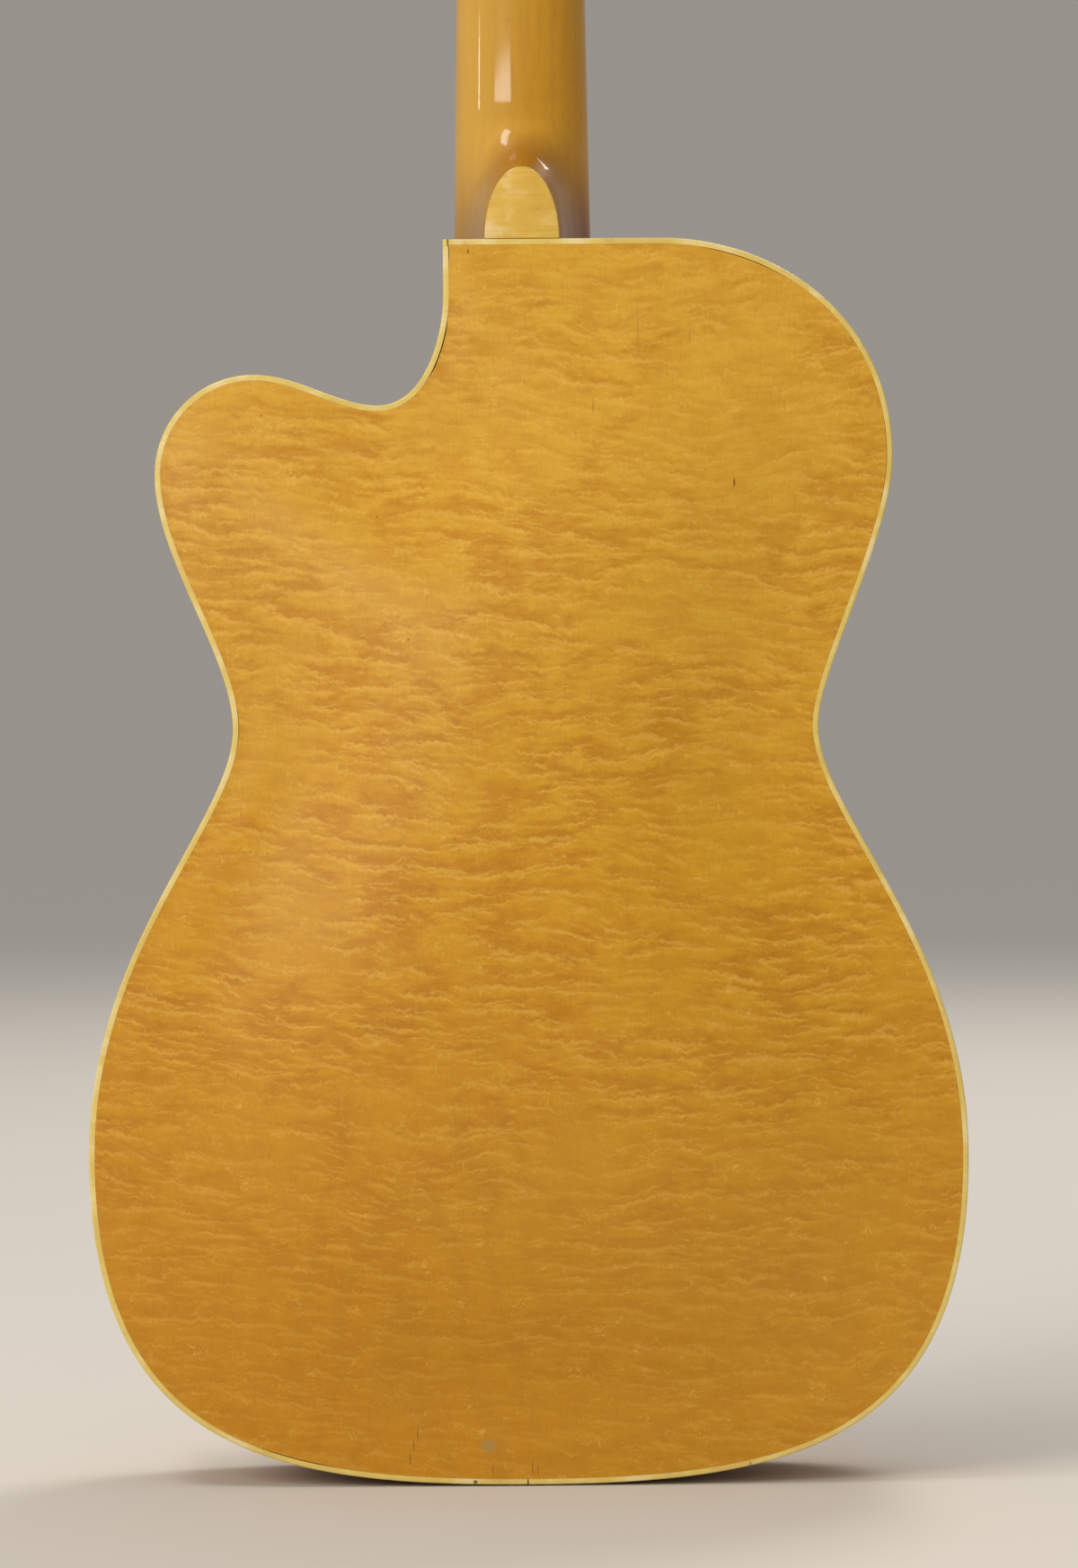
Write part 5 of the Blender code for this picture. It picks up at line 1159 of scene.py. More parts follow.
def figured_maple():
    """Carved flame maple under aged amber nitrocellulose lacquer: rippled bands and a soft satin shine."""
    c = colours()
    material, tree = new_material("lacquered_flame_maple", c.maple_gold, 0.46, coat=0.22,
                                  coat_roughness=0.24, specular=0.28)
    room = add(tree, "TexCoord", out="Object")
    side = add(tree, "SeparateXYZ", room, out=0)
    height = add(tree, "SeparateXYZ", room, out=2)

    # The bands lie 4 to 8 mm apart, wander by a few millimetres, lean on the left and are finely crinkled.
    wander = add(tree, "TexNoise", grain_places(tree, 0.045, 0.050), EVEN)
    slow = add(tree, "TexNoise", grain_places(tree, 0.14, 0.11), SIMPLE)
    crinkle = add(tree, "TexNoise", grain_places(tree, 0.0024, 0.0060), {"Scale": 1.0, "Roughness": 0.6})
    leaning = add(tree, "Math", side, 0.03, operation="MINIMUM")
    shift = 0.0
    for part, bands in ((wander, 2.2), (slow, 3.4), (crinkle, 0.62), (leaning, 13.0)):
        shift = add(tree, "Math", part, bands, shift, **TIMES_PLUS)
    lift = add(tree, "CombineXYZ", {"Y": shift})
    broad = add(tree, "VectorMath", grain_places(tree, 0.022, 0.0058), lift, operation="ADD")
    above = add(tree, "VectorMath", broad, (0.03, 0.17, 0.0), operation="ADD")
    fine = add(tree, "VectorMath", grain_places(tree, 0.0075, 0.0027), lift, operation="ADD")
    rough_edged = {"Scale": 1.0, "Detail": 4.0, "Roughness": 0.55, "Distortion": 0.25}
    band = add(tree, "TexNoise", broad, rough_edged)
    flame = add(tree, "MapRange", band, 0.40, 0.60, **SOFT)
    ripple = add(tree, "TexNoise", fine, {"Scale": 1.0, "Roughness": 0.55, "Distortion": 0.4})
    ripple = add(tree, "MapRange", ripple, 0.38, 0.68, **SOFT)
    figure = add(tree, "Math", flame, 0.62, **TIMES)
    figure = add(tree, "Math", ripple, 0.38, figure, **TIMES_PLUS)

    # Painted highlight: a pale colour is laid along the upper edge of each band, as if fibres dipping under
    # it caught the light.
    painted_edge_highlight = add(tree, "Math", add(tree, "TexNoise", above, rough_edged), band, operation="SUBTRACT")
    painted_edge_highlight = add(tree, "MapRange", painted_edge_highlight, 0.015, 0.09, **SOFT)

    # The figure is strong over the upper half and fades below; the tone goes from pale gold down to amber.
    up = add(tree, "MapRange", height, BOTTOM_Z + 0.02, TOP_Z - 0.03, **SOFT)
    patch = add(tree, "TexNoise", room_places(tree, 0.045, 0.10, 0.036), {"Scale": 1.0, "Roughness": 0.6})
    patch = add(tree, "MapRange", patch, 0.34, 0.60, 0.45, 1.0, **SOFT)
    fade = add(tree, "MapRange", height, BOTTOM_Z + 0.02, BOTTOM_Z + 0.26, 0.46, 1.12, **SOFT)
    strength = add(tree, "Math", patch, fade, **TIMES)
    tone = add(tree, "ValToRGB", up, stops=[(0.0, mix_colour(c.maple_amber, c.maple_gold, 0.45)),
                                            (0.5, c.maple_gold),
                                            (1.0, mix_colour(c.maple_gold, c.maple_pale, 0.8))])
    green = add(tree, "Math", slow, 0.16, side, **TIMES_PLUS)
    green = add(tree, "Math", add(tree, "MapRange", green, 0.02, 0.16, **SOFT), 0.10, **TIMES)
    tone = add(tree, "Mix", {0: green, 6: tone, 7: "b99a20"}, **COLOURS)
    dark = add(tree, "Mix", {0: 1.0, 6: tone, 7: (0.80, 0.66, 0.30)}, blend_type="MULTIPLY", **COLOURS)
    dark_share = add(tree, "Math", figure, strength, **TIMES)
    # Share of the painted highlight, which follows the figure's strength.
    shine = add(tree, "Math", add(tree, "Math", painted_edge_highlight, strength, **TIMES), 0.42, **TIMES)

    # Cathedral arches of the sawn face, faint and low on the body, run along the grain and close upwards.
    across = add(tree, "Math", side, 0.050, operation="ADD")
    bend = add(tree, "Math", across, across, 0.0002, **TIMES_PLUS)
    bend = add(tree, "Math", bend, operation="SQRT")
    ring = add(tree, "Math", bend, 390.0, **TIMES)
    ring = add(tree, "Math", height, 82.0, ring, **TIMES_PLUS)
    ring = add(tree, "Math", add(tree, "Math", wander, 10.0, ring, **TIMES_PLUS), operation="SINE")
    ring = add(tree, "MapRange", ring, 0.1, 1.0, 0.0, 0.06, **SOFT)
    low = add(tree, "MapRange", height, BOTTOM_Z + 0.24, BOTTOM_Z + 0.14, **SOFT)
    near = add(tree, "MapRange", bend, 0.09, 0.03, **SOFT)
    ring = add(tree, "Math", ring, add(tree, "Math", low, near, **TIMES), **TIMES)

    # Short fibres and fine checks along the grain, and curled pale hairlines a few millimetres long.
    fibre = add(tree, "TexNoise", grain_places(tree, 0.0011, 0.0062), {"Scale": 1.0, "Roughness": 0.6})
    fibre = add(tree, "MapRange", fibre, 0.40, 0.72, 0.0, 0.09, **SOFT)
    check = add(tree, "TexNoise", grain_places(tree, 0.0016, 0.018), SIMPLE)
    check = add(tree, "MapRange", check, 0.67, 0.78, 0.0, 0.10, **SOFT)
    curl = add(tree, "TexNoise", grain_places(tree, 0.0075, 0.0048), {"Scale": 1.0, "Distortion": 1.2})
    curl = add(tree, "Math", add(tree, "Math", curl, 0.5, operation="SUBTRACT"), operation="ABSOLUTE")
    curl = add(tree, "MapRange", curl, 0.0, 0.020, 0.34, 0.0, **SOFT)
    where = add(tree, "TexNoise", grain_places(tree, 0.011, 0.009), {"Scale": 1.0, "Roughness": 0.6})
    where = add(tree, "MapRange", where, 0.50, 0.64, **SOFT)
    curl = add(tree, "Math", curl, where, **TIMES)
    worn = mix_colour(c.maple_brown, (0.01, 0.01, 0.01), 0.45)
    blotch = spots(tree, [(-0.0170, 0.0159, 0.0042, 0.0036, 0.42)])
    # The layer of shine in dcab48 is a painted highlight; the other layers are figure, grain, checks,
    # hairlines and wear.
    layers = ((dark_share, dark), (shine, "dcab48"), (ring, c.maple_brown), (fibre, c.maple_brown),
              (check, c.maple_brown), (curl, "ecc460"), (spots(tree, BACK_MARKS), worn), (blotch, "8f8a5c"))
    rough = add(tree, "TexNoise", room_places(tree, 0.03, 0.03, 0.05), LINED)
    rough = add(tree, "MapRange", rough, 0.3, 0.7, 0.36, 0.48, **SOFT)
    raised = add(tree, "Math", painted_edge_highlight, figure, operation="SUBTRACT")
    return dress(material, tone, layers, rough, (raised, 0.00004, 0.35))


def neck_maple():
    """Hard maple under gloss amber lacquer: nearly plain, with long grain lines and a few soft flames."""
    c = colours()
    ground = mix_colour(mix_colour(c.maple_gold, c.maple_amber, 0.5), "b08e30", 0.30)
    material, tree = new_material("lacquered_hard_maple", ground, 0.40, coat=0.5, coat_roughness=0.06,
                                  specular=0.15)
    lines = add(tree, "TexNoise", room_places(tree, 0.0030, 0.0030, 0.060), LINED)
    wood = add(tree, "ValToRGB", add(tree, "MapRange", lines, 0.3, 0.72, **SOFT),
               stops=[(0.0, mix_colour(ground, c.maple_pale, 0.14)), (0.6, ground),
                      (1.0, mix_colour(ground, c.maple_brown, 0.12))])
    flame = add(tree, "TexNoise", room_places(tree, 0.02, 0.02, 0.0055), SIMPLE)
    flame = add(tree, "MapRange", flame, 0.45, 0.7, 0.0, 0.16, **SOFT)
    pores = add(tree, "TexNoise", room_places(tree, 0.0007, 0.0007, 0.0040), SIMPLE)
    pores = add(tree, "MapRange", pores, 0.62, 0.74, 0.0, 0.22, **SOFT)

    # Painted light and shade: a painted pale sheen on the left, where the light falls, painted shade of deep
    # amber just above the heel cap, and painted brown shade on both sides of the heel, darker on the right.
    room = add(tree, "TexCoord", out="Object")
    side = add(tree, "SeparateXYZ", room, out=0)
    near = add(tree, "SeparateXYZ", room, out=2)
    near = add(tree, "MapRange", near, TOP_Z + 0.046, TOP_Z + 0.004, **SOFT)
    pale = add(tree, "MapRange", side, 0.012, -0.028, 0.0, 0.42, **SOFT)
    deep = spots(tree, [(0.0010, 0.5290, 0.0210, 0.0240, 0.70)])
    painted_shade_across = add(tree, "MapRange", add(tree, "Math", side, operation="ABSOLUTE"), 0.004, 0.024, **SOFT)
    painted_shade_across = add(tree, "Math", painted_shade_across, add(tree, "MapRange", side, -0.01, 0.01, 0.45, 0.85), **TIMES)
    brown = add(tree, "Math", near, painted_shade_across, **TIMES)
    # The layers pale, deep and brown are painted sheen and painted shade; flame and pores are the wood's own.
    layers = ((flame, c.maple_amber), (pores, c.maple_brown), (pale, "c9a75c"), (deep, "965d0a"),
              (brown, "693706"))
    rough = add(tree, "MapRange", lines, 0.2, 0.8, 0.34, 0.46, **SOFT)
    return dress(material, wood, layers, rough, (lines, 0.00002, 0.2))


def carved_spruce():
    """Quarter-sawn spruce under amber lacquer: straight year lines 1.2 to 2 mm apart, silky cross rays."""
    c = colours()
    material, tree = new_material("lacquered_carved_spruce", c.spruce, 0.40, coat=0.5, coat_roughness=0.14)
    side = add(tree, "SeparateXYZ", add(tree, "TexCoord", out="Object"), out=0)
    sway = add(tree, "TexNoise", room_places(tree, 0.06, 1.0, 0.35), EVEN)
    years = add(tree, "Math", add(tree, "Math", side, operation="ABSOLUTE"), 640.0, **TIMES)
    years = add(tree, "Math", years, add(tree, "Math", sway, 2.4, **TIMES), operation="ADD")
    late = add(tree, "Math", years, operation="FRACT")
    late = add(tree, "MapRange", late, 0.45, 0.97, **SOFT)
    wood = add(tree, "ValToRGB", late, stops=[(0.0, mix_colour(c.spruce, c.maple_pale, 0.25)),
                                              (0.55, c.spruce),
                                              (1.0, mix_colour(c.spruce, c.maple_brown, 0.55))])
    # Years grow narrow and wide by turns, which shows from afar as streaks; they are drawn a little strong.
    streak = add(tree, "TexNoise", room_places(tree, 0.0095, 1.0, 0.60), LINED)
    streak = add(tree, "MapRange", streak, 0.40, 0.66, 0.0, 0.34, **SOFT)
    silk = add(tree, "TexNoise", room_places(tree, 0.012, 1.0, 0.0016), EVEN)
    silk = add(tree, "Math", add(tree, "MapRange", silk, 0.52, 0.75, **SOFT), 0.14, **TIMES)
    rough = add(tree, "MapRange", sway, 0.3, 0.7, 0.34, 0.46, **SOFT)
    return dress(material, wood, ((streak, "a86a22"), (silk, c.maple_pale)), rough, (late, 0.00004, 0.3))


def plain_inner_wood():
    """Unfinished spruce and kerfed lime inside the body: dry, matt, with faint long grain."""
    material, tree = new_material("bare_spruce_and_lime", "c9a878", 0.72)
    grain = add(tree, "TexNoise", room_places(tree, 0.0018, 0.0018, 0.06), CLOUDY)
    wood = add(tree, "ValToRGB", add(tree, "MapRange", grain, 0.3, 0.7, **SOFT),
               stops=[(0.0, "d6b98b"), (1.0, "b08c5c")])
    return dress(material, wood, relief=(grain, 0.0001, 0.3))


def oiled_rosewood():
    """Oiled rosewood: near-black brown streaks, open pores 2 to 6 mm long, a dull oiled shine."""
    c = colours()
    material, tree = new_material("oiled_rosewood", c.rosewood, 0.46)
    streak = add(tree, "TexNoise", room_places(tree, 0.0045, 0.0045, 0.12),
                 {"Scale": 1.0, "Detail": 4.0, "Roughness": 0.62, "Distortion": 0.3})
    wood = add(tree, "ValToRGB", add(tree, "MapRange", streak, 0.28, 0.72, **SOFT),
               stops=[(0.0, "221410"), (0.5, c.rosewood), (1.0, "55321f")])
    pores = add(tree, "TexNoise", room_places(tree, 0.0006, 0.0006, 0.0048), SIMPLE)
    pores = add(tree, "MapRange", pores, 0.60, 0.70, **SOFT)
    dark = add(tree, "Math", pores, 0.6, **TIMES)
    rough = add(tree, "MapRange", pores, 0.0, 1.0, 0.42, 0.62, **SOFT)
    closed = add(tree, "Math", 1.0, pores, operation="SUBTRACT")
    return dress(material, wood, ((dark, "120a08"),), rough, (closed, 0.00012, 0.4))


def aged_celluloid(name, shade, drawn, marks=()):
    """Cream celluloid gone yellow under lacquer: smooth, waxy, with clouds and drawn lines of its sheet."""
    material, tree = new_material(name, shade, 0.34, coat=0.45, coat_roughness=0.20, specular=0.25)
    cloud = add(tree, "TexNoise", room_places(tree, 0.018, 0.018, 0.018), CLOUDY)
    body = add(tree, "ValToRGB", add(tree, "MapRange", cloud, 0.3, 0.7, **SOFT),
               stops=[(0.0, mix_colour(shade, "b8862c", 0.22)), (0.55, shade),
                      (1.0, mix_colour(shade, (0.95, 0.90, 0.72), 0.25))])
    lines = add(tree, "TexNoise", room_places(tree, 0.030, 0.030, 0.0011), {"Scale": 1.0, "Roughness": 0.6})
    line_share = add(tree, "Math", add(tree, "MapRange", lines, 0.42, 0.66, **SOFT), drawn, **TIMES)
    grime = add(tree, "TexNoise", room_places(tree, 0.006, 0.006, 0.006), EVEN)
    grime = add(tree, "Math", add(tree, "MapRange", grime, 0.62, 0.80, **SOFT), 0.30, **TIMES)
    layers = [(line_share, mix_colour(shade, "9a6a20", 0.6)), (grime, "8a6a34")]
    if marks:
        layers.append((spots(tree, marks), "2c2014"))
    rough = add(tree, "MapRange", cloud, 0.3, 0.7, 0.25, 0.36, **SOFT)
    return dress(material, body, layers, rough, (lines, 0.00002, 0.2))


def cow_bone():
    """Bleached and polished bone: ivory with short fine streaks, a soft shine."""
    material, tree = new_material("polished_bone", "e6dcc0", 0.34, 1.53)
    streak = add(tree, "TexNoise", room_places(tree, 0.0035, 0.0006, 0.0006), CLOUDY)
    body = add(tree, "ValToRGB", add(tree, "MapRange", streak, 0.3, 0.75, **SOFT),
               stops=[(0.0, "efe6cd"), (1.0, "cdbd94")])
    rough = add(tree, "MapRange", streak, 0.3, 0.7, 0.30, 0.42, **SOFT)
    return dress(material, body, (), rough, (streak, 0.00003, 0.2))


def black_lacquered_veneer():
    """Black-dyed pear veneer under gloss lacquer: deep black with the faintest grain."""
    material, tree = new_material("black_lacquered_pear", "15110f", 0.30, coat=0.9, coat_roughness=0.04)
    grain = add(tree, "TexNoise", room_places(tree, 0.0012, 0.0012, 0.05), CLOUDY)
    body = add(tree, "ValToRGB", add(tree, "MapRange", grain, 0.3, 0.7, **SOFT),
               stops=[(0.0, "110e0c"), (1.0, "231c18")])
    rough = add(tree, "MapRange", grain, 0.3, 0.7, 0.26, 0.38, **SOFT)
    return dress(material, body, (), rough, (grain, 0.00002, 0.2))


def mottled_celluloid():
    """Mottled brown celluloid sheet: clouds of amber 8 to 15 mm across in near-black brown, polished."""
    c = colours()
    material, tree = new_material("mottled_celluloid", c.guard, 0.20, coat=0.4, coat_roughness=0.05)
    cloud = add(tree, "TexNoise", room_places(tree, 0.013, 0.05, 0.017),
                {"Scale": 1.0, "Detail": 3.0, "Roughness": 0.55, "Distortion": 1.2})
    body = add(tree, "ValToRGB", cloud, stops=[(0.36, "160907"), (0.52, c.guard), (0.62, "a05a1c"),
                                               (0.72, "c9832c")])
    scuff = add(tree, "TexNoise", room_places(tree, 0.004, 0.02, 0.012), LINED)
    rough = add(tree, "MapRange", scuff, 0.3, 0.7, 0.15, 0.28, **SOFT)
    return dress(material, body, (), rough, (scuff, 0.00002, 0.15))


def metal(name, shade, dull, roughness, speck=0.35):
    """Plated or polished metal gone slightly dull: soft clouds of tarnish and fine wiping marks."""
    material, tree = new_material(name, shade, roughness, metallic=1.0)
    cloud = add(tree, "TexNoise", room_places(tree, 0.007, 0.007, 0.007),
                {"Scale": 1.0, "Detail": 4.0, "Roughness": 0.6})
    tarnish = add(tree, "Math", add(tree, "MapRange", cloud, 0.42, 0.72, **SOFT), speck, **TIMES)
    body = add(tree, "Mix", {0: tarnish, 6: shade, 7: dull}, **COLOURS)
    wiped = add(tree, "TexNoise", room_places(tree, 0.0005, 0.0005, 0.006), EVEN)
    rough = add(tree, "MapRange", cloud, 0.3, 0.75, roughness * 0.8, roughness * 1.5, **SOFT)
    rough = add(tree, "Math", rough, add(tree, "Math", wiped, 0.08, **TIMES), operation="ADD")
    return dress(material, body, (), rough, (wiped, 0.00001, 0.15))


def wound_string():
    """Bronze wrap on a steel core: its turns catch the light in fine cross lines, with painted shade in the
    grooves between them.
    """
    material, tree = new_material("bronze_wrapped_steel", "b07a44", 0.34, metallic=1.0)
    along = add(tree, "SeparateXYZ", add(tree, "UVMap", uv_map="Grain"), out=1)
    # The turns are drawn 1 mm apart to show.
    turn = add(tree, "Math", add(tree, "Math", along, 2.0 * math.pi / 0.001, **TIMES), operation="SINE")
    height = add(tree, "MapRange", turn, -1.0, 0.6, **SOFT)
    # Painted shade: the low part of each turn, the groove between turns, is coloured dark brown 5e3c1e.
    body = add(tree, "Mix", {0: height, 6: "5e3c1e", 7: "b07a44"}, **COLOURS)
    rough = add(tree, "MapRange", height, 0.0, 1.0, 0.5, 0.3, **SOFT)
    return dress(material, body, (), rough, (height, 0.00012, 0.6))


def pearl():
    """Mother-of-pearl dots: pale grey with bands of faint pink and green."""
    material, tree = new_material("mother_of_pearl", "d9d8cf", 0.22, 1.53)
    wave = add(tree, "TexNoise", room_places(tree, 0.0022, 0.0022, 0.0040),
               {"Scale": 1.0, "Detail": 3.0, "Distortion": 1.0})
    body = add(tree, "ValToRGB", wave, stops=[(0.35, "c3cfc6"), (0.48, "e4e2da"), (0.58, "dcc6c4"),
                                              (0.70, "eeeae0")])
    return dress(material, body, (), add(tree, "MapRange", wave, 0.3, 0.7, 0.18, 0.30, **SOFT))


def studio_paper():
    """Matt seamless paper under the guitar: pale, with the faintest mottling."""
    shade = colours().floor
    material, tree = new_material("seamless_paper", shade, 0.9, 1.45)
    cloud = add(tree, "TexNoise", room_places(tree, 0.5, 0.5, 0.5), EVEN)
    body = add(tree, "Mix", {0: cloud, 6: mix_colour(shade, "000000", 0.015),
                             7: mix_colour(shade, "ffffff", 0.015)}, **COLOURS)
    return dress(material, body)


MAKERS = {
    "figured_maple": figured_maple,
    "neck_maple": neck_maple,
    "spruce": carved_spruce,
    "inner_wood": plain_inner_wood,
    "rosewood": oiled_rosewood,
    "binding": lambda: aged_celluloid("aged_celluloid_binding", colours().binding, 0.10, BINDING_MARKS),
    "heel_cap": lambda: aged_celluloid("aged_celluloid_heel_cap", colours().heel_cap, 0.26),
    "cream_button": lambda: aged_celluloid("cream_celluloid_button", "dccb95", 0.20),
    "bone": cow_bone,
    "black_veneer": black_lacquered_veneer,
    "tortoise": mottled_celluloid,
    "steel": lambda: metal("drawn_steel", "9a9a98", "6a6762", 0.32),
    "nickel": lambda: metal("nickel_plated_steel", "c6c1b4", "8f8776", 0.22),
    "brass": lambda: metal("dulled_brass", "c39a50", "80602c", 0.28, 0.5),
    "bronze_string": wound_string,
    "plain_string": lambda: metal("bright_plain_wire", "cccccb", "8c8a86", 0.24, 0.2),
    "pearl": pearl,
}
FINISHES = {}


def finish(name):
    """The finish for a material slot, made once."""
    if name not in FINISHES:
        FINISHES[name] = MAKERS[name]()
    return FINISHES[name]


def refinish(*nodes, material):
    """Gives nodes that keep their own mesh a worked finish."""
    for node in nodes:
        mesh = frame["nodes"][node].data
        mesh.materials.clear()
        mesh.materials.append(finish(material))


# Operators

class Make:
    """Shared settings of the operators that make a piece."""
    bl_options = {"REGISTER", "UNDO"}


class ARCHTOP_OT_plates(Make, bpy.types.Operator):
    """Carved back and carved top with its two sound holes."""
    bl_idname = "archtop.plates"
    bl_label = "Carved plates"

    def execute(self, context):
        outline, _ = body_outline()
        s = sizes()
        back = carved_plate("carved_back", outline, BACK_Y, -1.0, s.back_arch)
        piece("carved_back", back, "figured_maple", "guitar", ["back_plate"])
        top = carved_plate("carved_top", outline, TOP_Y, 1.0, s.top_arch)
        top = cut_away(top, sound_hole(1.0, saddle_z()) + sound_hole(-1.0, saddle_z()), 35.0)
        piece("carved_top", top, "spruce", "guitar", ["top_plate"])
        return {"FINISHED"}


class ARCHTOP_OT_sides(Make, bpy.types.Operator):
    """Bent ribs and the two bindings."""
    bl_idname = "archtop.sides"
    bl_label = "Sides and bindings"

    def execute(self, context):
        outline, corner = body_outline()
        low, high = BACK_Y + BINDING_DEPTH + FIT, TOP_Y - BINDING_DEPTH - FIT
        for side, part, shift in (("bass", (outline, 0, corner), (FIT / 2, 1.5 * FIT)),
                                  ("treble", (outline, corner, len(outline)), (0.0, -FIT / 2))):
            name = "bent_rib_" + side
            mesh = rib_strip(name, part, shift, low, high)
            piece(name, mesh, "figured_maple", "guitar", ["rib_" + side])
        for side, level, out in (("back", BACK_Y, -1.0), ("top", TOP_Y, 1.0)):
            name = "scraped_binding_" + side
            mesh = binding_band(name, outline, level, out)
            piece(name, mesh, "binding", "guitar", [side + "_binding"])
        return {"FINISHED"}


class ARCHTOP_OT_neck(Make, bpy.types.Operator):
    """Neck, heel and headstock of one piece, with the heel's cap."""
    bl_idname = "archtop.neck"
    bl_label = "Neck"

    def execute(self, context):
        grid, places = neck_grid()
        mesh = grid_mesh("carved_neck", [(grid, places)], sharp=50.0, matrix=NECK)
        pocket = np.array([(-0.006, -0.001), (0.006, -0.001), (0.006, 0.024), (-0.006, 0.024)])
        cutters = [cutter(pocket, -0.008, 0.01, HEAD)]
        angle = np.linspace(0.0, 2.0 * math.pi, 24, endpoint=False)
        bore = (POST_RADIUS + 0.0004) * np.stack([np.cos(angle), np.sin(angle)], axis=1)
        for side in (-1.0, 1.0):
            for up in tuner_heights():
                cutters.append(cutter(bore + (side * TUNER_X, up), -0.03, 0.01, HEAD))
        mesh = cut_away(mesh, cutters, 40.0)
        piece("carved_neck", mesh, "neck_maple", "guitar", ["neck"])
        share = np.sin(np.linspace(0.0, 0.5 * math.pi, 40))
        right = np.stack([cap_half(share), TOP_Z + 0.0001 + (HEEL_CAP_LENGTH - 0.0001) * share], axis=1)
        cap = slab("rounded_heel_cap", both_sides(right), BACK_Y, BACK_Y + HEEL_CAP_THICK, 0.0001,
                   low_edge=0.0004)
        piece("rounded_heel_cap", cap, "heel_cap", "guitar", ["heel_cap"])
        refinish("fingerboard_support", material="neck_maple")
        return {"FINISHED"}


class ARCHTOP_OT_fingerboard(Make, bpy.types.Operator):
    """Rounded fingerboard with its frets and dots, and the nut."""
    bl_idname = "archtop.fingerboard"
    bl_label = "Fingerboard and nut"

    def execute(self, context):
        board = grid_mesh("rounded_fingerboard", [board_grid()], sharp=30.0, matrix=NECK)
        piece("rounded_fingerboard", board, "rosewood", "guitar", ["fingerboard"])
        frets = grid_mesh("fret_wires", fret_grids(), sharp=50.0, matrix=NECK)
        piece("fret_wires", frets, "nickel", "guitar")
        dots = []
        for number in DOT_FRETS:
            along = 0.5 * (fret_place(number) + fret_place(number - 1))
            for x in (-DOT_SPREAD, DOT_SPREAD) if number == 12 else (0.0,):
                dots.append(dot_grid(x, along, DOT_RADIUS))
        dots = grid_mesh("position_dots", dots, matrix=NECK)
        piece("position_dots", dots, "pearl", "guitar", slot="bone")
        eased_copy("filed_nut", "nut", 0.00035, "bone")
        return {"FINISHED"}


class ARCHTOP_OT_headstock(Make, bpy.types.Operator):
    """Headstock's black face, the truss rod's cover and nut, and the six post bushings."""
    bl_idname = "archtop.headstock"
    bl_label = "Headstock face"

    def execute(self, context):
        up = np.concatenate([[0.0006], np.linspace(0.003, CROWN_START, 30), crown_rows(0.05, 14)])
        outline = both_sides(np.stack([head_half(up), up], axis=1))
        face = slab("polished_headstock_face", outline, FIT, FIT + VENEER_THICK, 0.0004, HEAD)
        piece("polished_headstock_face", face, "black_veneer", "guitar", ["headstock_veneer"])
        bell = spline([(0.0113, 0.0016), (0.0115, 0.006), (0.0105, 0.0125), (0.0068, 0.0195), (0.0044, 0.028),
                       (0.0026, 0.0355), (0.0004, 0.0374)], 50)
        low = VENEER_THICK + 2.0 * FIT
        high = low + COVER_THICK
        cover = slab("bell_cover", both_sides(bell), low, high, 0.0004, HEAD)
        piece("bell_cover", cover, "black_veneer", "guitar", ["truss_rod_cover"])
        places = [(0.0085, high, 0.0048), (-0.0085, high, 0.0048), (0.0, high, 0.0318)]
        screws = screw_mesh("cover_screws", places, 0.0016, HEAD)
        piece("cover_screws", screws, "nickel", "guitar")
        top = FIT + VENEER_THICK
        inner = POST_RADIUS + 0.0003
        profile = [(top - 0.0002, inner), (top - 0.0002, 0.0052), (top + 0.0008, 0.0052),
                   (top + 0.0013, 0.0047), (top + 0.0016, 0.0040), (top + 0.0016, inner),
                   (top - 0.0002, inner)]
        rings = []
        for side in (-1.0, 1.0):
            for height in tuner_heights():
                grid, where = lathe(profile, 40, centre=(side * TUNER_X, 0.0, height))
                rings.append((grid[1:-1], where[1:-1]))
        rings = grid_mesh("post_bushings", rings, matrix=HEAD)
        piece("post_bushings", rings, "nickel", "guitar")
        eased_copy("hexagon_rod_nut", "truss_rod_nut", 0.0003, "brass")
        return {"FINISHED"}


class ARCHTOP_OT_tuners(Make, bpy.types.Operator):
    """Open tuners: plates with ears, worms, toothed posts and buttons."""
    bl_idname = "archtop.tuners"
    bl_label = "Tuners"

    def execute(self, context):
        start = HEAD_HALF + BUTTON_CLEAR - TUNER_X
        parts = (("cut_worm", worm_grid(start), 40.0, "nickel", "tuner_key", "worm_shaft"),
                 ("moulded_button", button_grid(start), 60.0, "cream_button", "tuner_key", "tuner_button"),
                 ("toothed_post", post_grid(), 32.0, "brass", "string_post", "string_post"))
        plate_y = -HEAD_THICK - FIT - PLATE_SHEET
        for side, sign in (("bass", 1.0), ("treble", -1.0)):
            eased_copy("stamped_tuner_plate_" + side, "tuner_plate_" + side, 0.0003, "nickel")
            screws = []
            for number, up in enumerate(tuner_heights()):
                tuner = "_" + side + "_" + str(number + 1)
                frames = {"tuner_key": HEAD @ move(sign * TUNER_X, WORM_Y, up - CENTRE_DISTANCE),
                          "string_post": HEAD @ move(sign * TUNER_X, 0.0, up)}
                for name, grid, sharp, look, body, node in parts:
                    grid = grid if sign > 0 else mirror_x(grid)
                    mesh = grid_mesh(name + tuner, [grid], sharp, frames[body])
                    piece(name + tuner, mesh, look, body + tuner, [node + tuner])
                screws.append((sign * (TUNER_X + 0.0040), plate_y, up - 0.0158))
                screws.append((sign * (TUNER_X - 0.0040), plate_y, up + 0.0066))
            mesh = screw_mesh("tuner_screws_" + side, screws, 0.0014, HEAD, -1.0)
            piece("tuner_screws_" + side, mesh, "nickel", "guitar")
        return {"FINISHED"}


